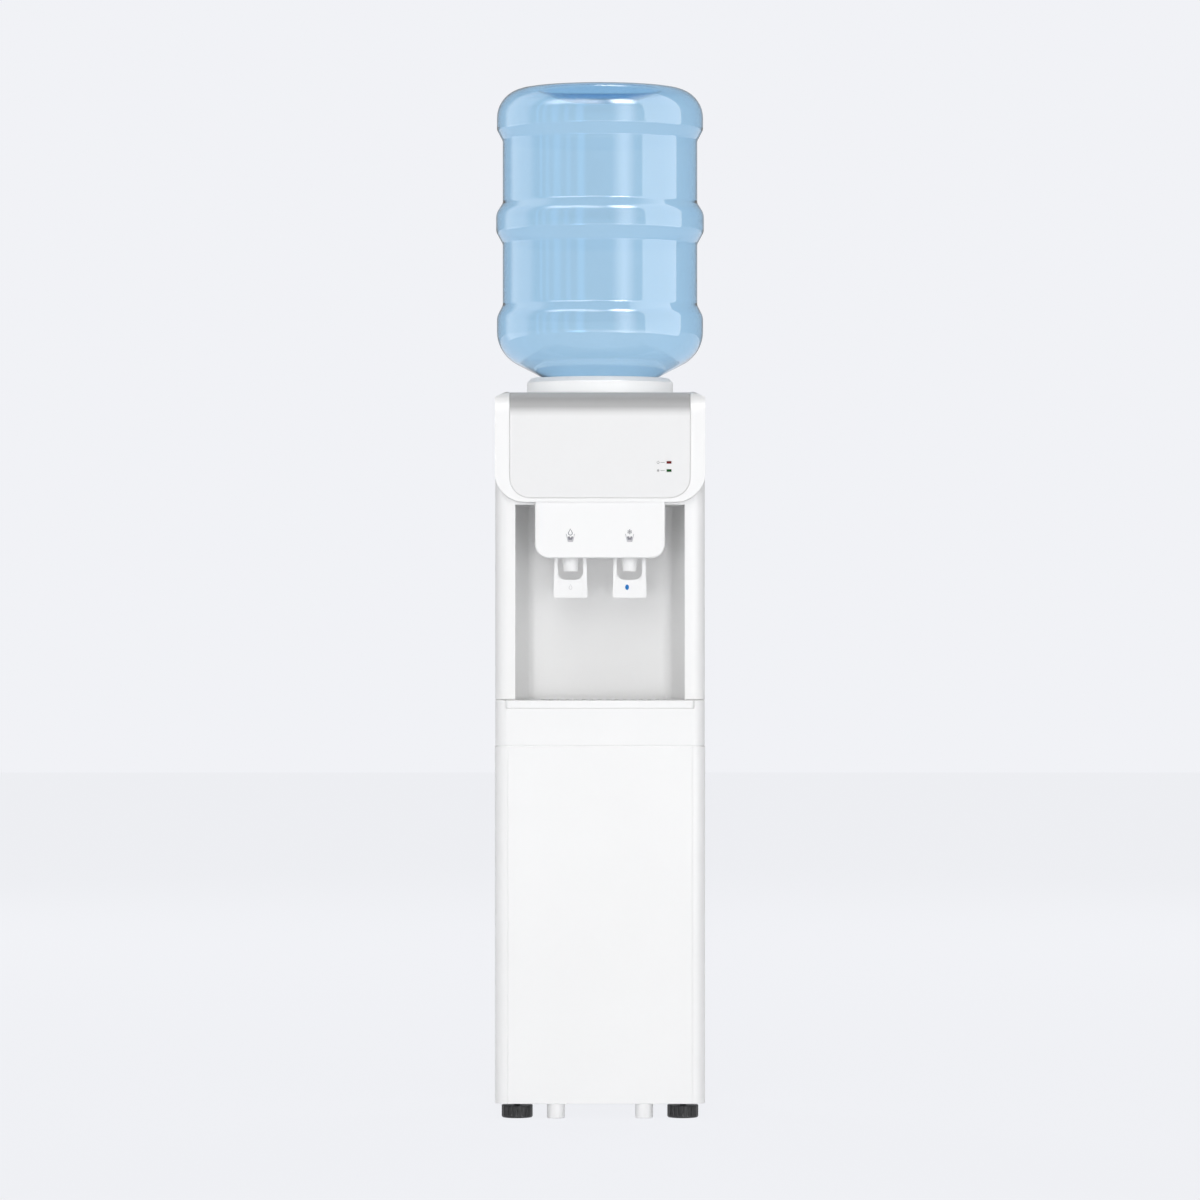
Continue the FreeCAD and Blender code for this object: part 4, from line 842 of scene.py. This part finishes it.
class COOLER_OT_signs(bpy.types.Operator):
    """Prints the cup signs over the taps and the two small signs beside the lenses"""

    bl_idname = "cooler.signs"
    bl_label = "Signs"

    tap_x, foot_z = 0.038, 0.7395
    lens_sign_x = 0.0745
    lever_mark_z = 0.6815
    thin = 0.6

    def cup(self, x, y, depth):
        """A pale glass with a dark drink in it, outlined in millimetres above its foot."""
        pale = Sign(x, y, self.foot_z, depth)
        dark = Sign(x, y, self.foot_z, depth)
        pale.fill([(-3.4, 0.4), (-2.4, 0.0), (2.4, 0.0), (3.4, 0.4), (4.9, 6.4), (3.5, 6.4), (2.6, 2.6),
                   (-2.6, 2.6), (-3.5, 6.4), (-4.9, 6.4)])
        for side in (-1, 1):
            pale.stroke([(side * 4.4, 6.4), (side * 5.4, 10.4)], 0.9)
        dark.fill([(-2.5, 2.7), (2.5, 2.7), (3.4, 6.9), (1.5, 7.1), (0.3, 5.0), (-0.7, 7.1), (-3.4, 6.9)])
        return pale, dark

    def power(self, sign):
        """A ring that is open at the top, with a bar in the opening."""
        radius, opening, steps = 1.5, 80.0, 20
        turns = [math.radians(opening / 2 + (360.0 - opening) * i / steps) for i in range(steps + 1)]
        sign.stroke([(radius * math.sin(turn), radius * math.cos(turn)) for turn in turns], self.thin)
        sign.stroke([(0.0, 0.5), (0.0, 2.1)], self.thin)

    def execute(self, context):
        depth = context.scene.cooler_sizes.print_t
        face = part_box("tap_housing")[0].y
        for side, tap in ((-1, "ambient"), (1, "cold")):
            pale, dark = self.cup(side * self.tap_x, face, depth)
            if tap == "ambient":
                dark.drop(low=8.7, radius=2.5, height=8.0, width=0.95)
            else:
                dark.flake(middle=12.9, reach=3.2, width=0.6)
            pale.finish(tap + "_cup_sign", "cabinet", "white_plastic", materials["pale_print"])
            dark.finish(tap + "_drink_sign", "cabinet", "white_plastic", materials["dark_print"])
        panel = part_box("front_panel")[0].y
        for kind in ("power", "cold"):
            low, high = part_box(kind + "_lens")
            sign = Sign(self.lens_sign_x, panel, (low.z + high.z) / 2, depth)
            if kind == "power":
                self.power(sign)
            else:
                sign.flake(middle=0.0, reach=1.8, width=0.45)
            sign.stroke([(3.0, 0.0), (8.4, 0.0)], self.thin)
            sign.finish(kind + "_sign", "cabinet", "panel_grey", materials["small_print"])
        mark = Sign(-self.tap_x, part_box("cold_lever_dot")[1].y, self.lever_mark_z, depth)
        mark.drop(low=-2.8, radius=1.9, height=6.4, width=0.8)
        mark.finish("ambient_lever_mark", "ambient_lever", "white_plastic", materials["emboss"])
        return {"FINISHED"}


class COOLER_OT_stage(bpy.types.Operator):
    """Sets up the pale floor, the soft light and the camera"""

    bl_idname = "cooler.stage"
    bl_label = "Stage"

    background = (0.879, 0.888, 0.922)
    floor_half = 14.0
    plain_share = 0.95
    world_light = 0.32

    camera_distance = 7.205
    camera_height = 0.665
    view_depth = 60.0
    focal_px = 5500.0
    image_px = 1200.0

    # Name, place, target, width, height and radiance.
    middle = (0.0, 0.0, 0.8)
    soft_lamps = (
        ("front", (-0.5, -5.2, 2.2), middle, 2.4, 1.8, 4.5),
        ("low", (0.0, -5.2, 0.5), (0.0, 0.0, 0.6), 2.4, 0.8, 9.5),
        ("left", (-3.3, -4.0, 2.2), middle, 1.8, 2.2, 0.3),
        ("right", (3.3, -4.0, 2.2), middle, 1.8, 2.2, 0.6),
        ("low_left", (-3.9, -3.4, 0.9), middle, 2.0, 1.0, 1.5),
        ("low_right", (3.9, -3.4, 0.9), middle, 2.0, 1.0, 1.8),
        ("overhead", (0.0, -1.0, 4.2), middle, 2.6, 2.0, 1.0),
        ("rear_left", (-2.6, 4.2, 2.4), middle, 1.8, 1.8, 8.0),
        ("rear_right", (2.6, 4.2, 2.4), middle, 1.8, 1.8, 8.0),
    )
    collar_lamps = tuple(
        ("collar_side", (side * 3.6, -1.6, 1.5), (0.0, 0.0, 0.95), 1.6, 1.6, 3.4) for side in (-1, 1))

    # Name, azimuth, elevation, width, height, radiance, soft edges, and a colour where it is for the
    # bottle alone.
    sky = (0.25, 0.62, 1.0)
    plain = (1.0, 1.0, 1.0)
    softboxes = (
        ("strip", 28.0, 4.0, 32.0, 90.0, 4.0, (0.5, 0.2)),
        ("key", 28.0, 38.0, 34.0, 24.0, 26.0, (0.35, 0.4)),
        ("fill", -31.0, 38.0, 74.0, 26.0, 8.0, (0.3, 0.4)),
        ("right_panel", 76.0, 12.0, 54.0, 100.0, 3.5, (0.06, 0.2), plain),
        ("left_panel", -107.0, 12.0, 56.0, 100.0, 1.7, (0.3, 0.2), plain),
        ("left_strip", -22.0, 4.0, 14.0, 90.0, 2.4, (0.4, 0.2), sky),
        ("left_streak", -37.0, 8.0, 9.0, 90.0, 1.3, (0.4, 0.2), sky),
        ("left_streak", -51.0, 8.0, 14.0, 90.0, 1.7, (0.4, 0.2), sky),
        ("left_streak", -64.0, 8.0, 8.0, 90.0, 1.1, (0.4, 0.2), sky),
        ("left_streak", -73.0, 8.0, 5.0, 90.0, 1.6, (0.4, 0.2), sky),
        ("low_left", -25.0, -12.0, 28.0, 9.0, 7.0, (0.4, 0.4), sky),
        ("low_middle", 10.0, -12.5, 110.0, 12.0, 1.6, (0.3, 0.4), plain),
        ("low_right", 33.0, -13.0, 64.0, 9.0, 2.6, (0.3, 0.4), plain),
        ("overhead_rear", 172.0, 62.0, 14.0, 9.0, 6.0, (0.3, 0.3)),
    )

    def lamp(self, name, place, target, width, height, radiance):
        """A soft box that faces a point; its radiance is what a mirror would show."""
        data = bpy.data.lights.new(name, "AREA")
        data.shape = "RECTANGLE"
        data.size = width
        data.size_y = height
        data.energy = radiance * math.pi * width * height
        lamp = bpy.data.objects.new(name, data)
        bpy.context.scene.collection.objects.link(lamp)
        lamp.location = place
        lamp.rotation_euler = (Vector(target) - Vector(place)).to_track_quat("-Z", "Y").to_euler()
        lamp.visible_camera = False
        lamp.visible_transmission = False
        return lamp

    def soft_lamp(self, *facts):
        """A lamp that lights surfaces and isn't mirrored in them."""
        lamp = self.lamp(*facts)
        lamp.visible_glossy = False
        return lamp

    def only(self, name, piece):
        """A collection of one piece, for a lamp that lights it alone."""
        collection = bpy.data.collections.new(name)
        collection.objects.link(bpy.data.objects[piece])
        return collection

    def feather(self, lamp, shares):
        """Fades a lamp's face out towards its edges, over a share of its width and height."""
        edge = 0.5
        lamp.data.use_nodes = True
        tree = lamp.data.node_tree
        face = tree.nodes.new("ShaderNodeNewGeometry")
        split = tree.nodes.new("ShaderNodeSeparateXYZ")
        tree.links.new(face.outputs["Parametric"], split.inputs["Vector"])
        fades = []
        for axis, share in zip("XY", shares):
            offset = maths(tree, "SUBTRACT", split.outputs[axis], edge)
            fade = tree.nodes.new("ShaderNodeMapRange")
            fade.interpolation_type = "SMOOTHSTEP"
            for socket, value in {"From Min": edge - share, "From Max": edge,
                                  "To Min": 1.0, "To Max": 0.0}.items():
                fade.inputs[socket].default_value = value
            tree.links.new(maths(tree, "ABSOLUTE", offset), fade.inputs["Value"])
            fades.append(fade.outputs["Result"])
        tree.links.new(maths(tree, "MULTIPLY", *fades), tree.nodes["Emission"].inputs["Strength"])

    def softbox(self, bottle_alone, name, azimuth, elevation, width, height, radiance, soft, colour=None):
        """A panel that only shows in reflections, placed and sized in degrees as seen from the bottle.

        Its edges fade out over the soft shares. A coloured one shows in the bottle alone.
        """
        centre = Vector((0.0, 0.0, 1.1))
        distance = 4.0
        turn, rise = math.radians(azimuth), math.radians(elevation)
        away = Vector((math.sin(turn) * math.cos(rise), -math.cos(turn) * math.cos(rise), math.sin(rise)))
        spans = [2 * distance * math.tan(math.radians(angle) / 2) for angle in (width, height)]
        lamp = self.lamp(name, centre + away * distance, centre, *spans, radiance)
        lamp.visible_diffuse = False
        self.feather(lamp, soft)
        if colour:
            lamp.data.color = colour
            lamp.light_linking.receiver_collection = bottle_alone

    def rays(self, tree, *kinds):
        """A socket that is 1 for rays of the named kinds."""
        path = tree.nodes.new("ShaderNodeLightPath")
        seen = path.outputs[kinds[0]]
        for kind in kinds[1:]:
            seen = maths(tree, "MAXIMUM", seen, path.outputs[kind])
        return seen

    def mix(self, tree, factor, first, second, target):
        """Joins two shaders and leads them to a target."""
        mixed = tree.nodes.new("ShaderNodeMixShader")
        tree.links.new(factor, mixed.inputs["Fac"])
        tree.links.new(first.outputs[0], mixed.inputs[1])
        tree.links.new(second.outputs[0], mixed.inputs[2])
        tree.links.new(mixed.outputs[0], target.inputs["Surface"])

    def floor(self):
        """A wide flat floor; the world goes on from its edge in the same colour."""
        mesh_data = bmesh.new()
        half = self.floor_half
        corners = [(-half, -half), (half, -half), (half, half), (-half, half)]
        mesh_data.faces.new([mesh_data.verts.new((x, y, 0.0)) for x, y in corners])
        mesh = bpy.data.meshes.new("floor")
        mesh_data.to_mesh(mesh)
        mesh_data.free()
        piece = bpy.data.objects.new("floor", mesh)
        bpy.context.scene.collection.objects.link(piece)
        mesh.materials.append(self.floor_material())

    def floor_material(self):
        """Pale paint; what the camera and reflections see is mostly the plain colour itself."""
        material = bpy.data.materials.new("floor")
        material.use_nodes = True
        tree = material.node_tree
        tree.nodes.remove(tree.nodes["Principled BSDF"])
        pale_paint = tree.nodes.new("ShaderNodeBsdfDiffuse")
        plain_colour = tree.nodes.new("ShaderNodeEmission")
        for shader in (pale_paint, plain_colour):
            shader.inputs["Color"].default_value = (*self.background, 1.0)
        seen = self.rays(tree, "Is Camera Ray", "Is Glossy Ray", "Is Transmission Ray")
        amount = maths(tree, "MULTIPLY", seen, self.plain_share)
        self.mix(tree, amount, pale_paint, plain_colour, tree.nodes["Material Output"])
        return material

    def world(self):
        """Soft white light all round, in the floor's colour where the camera looks past its edge."""
        world = bpy.data.worlds.new("studio")
        bpy.context.scene.world = world
        world.use_nodes = True
        tree = world.node_tree
        soft = tree.nodes["Background"]
        soft.inputs["Color"].default_value = (1.0, 1.0, 1.0, 1.0)
        soft.inputs["Strength"].default_value = self.world_light
        seen = tree.nodes.new("ShaderNodeBackground")
        seen.inputs["Color"].default_value = (*self.background, 1.0)
        through = self.rays(tree, "Is Camera Ray", "Is Transmission Ray")
        self.mix(tree, through, soft, seen, tree.nodes["World Output"])

    def camera(self):
        data = bpy.data.cameras.new("camera")
        data.sensor_fit = "HORIZONTAL"
        data.sensor_width = 36.0
        data.lens = data.sensor_width * self.focal_px / self.image_px
        data.clip_end = self.view_depth
        camera = bpy.data.objects.new("camera", data)
        bpy.context.scene.collection.objects.link(camera)
        camera.location = (0.0, -self.camera_distance, self.camera_height)
        camera.rotation_euler = (math.radians(90.0), 0.0, 0.0)
        bpy.context.scene.camera = camera

    def execute(self, context):
        context.scene.view_settings.view_transform = "Standard"
        self.floor()
        self.world()
        for facts in self.soft_lamps:
            self.soft_lamp(*facts)
        for facts in self.collar_lamps:
            lamp = self.soft_lamp(*facts)
            lamp.light_linking.receiver_collection = self.only("collar_alone", "collar_turned")
        bottle_alone = self.only("bottle_alone", "bottle_blown")
        for facts in self.softboxes:
            self.softbox(bottle_alone, *facts)
        self.camera()
        return {"FINISHED"}


class COOLER_PT_panel(bpy.types.Panel):
    """Lists the cooler's colours, sizes and steps"""

    bl_label = "Water cooler"
    bl_idname = "COOLER_PT_panel"
    bl_space_type = "VIEW_3D"
    bl_region_type = "UI"
    bl_category = "Cooler"

    def draw(self, context):
        for group in (context.scene.cooler_colours, context.scene.cooler_sizes):
            box = self.layout.box()
            for name in group.__annotations__:
                box.prop(group, name)
        for step in steps:
            self.layout.operator(step.bl_idname)


steps = (
    COOLER_OT_finishes,
    COOLER_OT_bottle,
    COOLER_OT_collar,
    COOLER_OT_head,
    COOLER_OT_alcove,
    COOLER_OT_taps,
    COOLER_OT_cabinet,
    COOLER_OT_feet,
    COOLER_OT_seams,
    COOLER_OT_signs,
    COOLER_OT_stage,
)
classes = (CoolerColours, CoolerSizes) + steps + (COOLER_PT_panel,)


def register():
    for cls in classes:
        bpy.utils.register_class(cls)
    bpy.types.Scene.cooler_colours = PointerProperty(type=CoolerColours)
    bpy.types.Scene.cooler_sizes = PointerProperty(type=CoolerSizes)


def unregister():
    del bpy.types.Scene.cooler_sizes
    del bpy.types.Scene.cooler_colours
    for cls in reversed(classes):
        bpy.utils.unregister_class(cls)


def main():
    register()
    for step in steps:
        group, name = step.bl_idname.split(".")
        getattr(getattr(bpy.ops, group), name)()


if __name__ == "__main__":
    main()
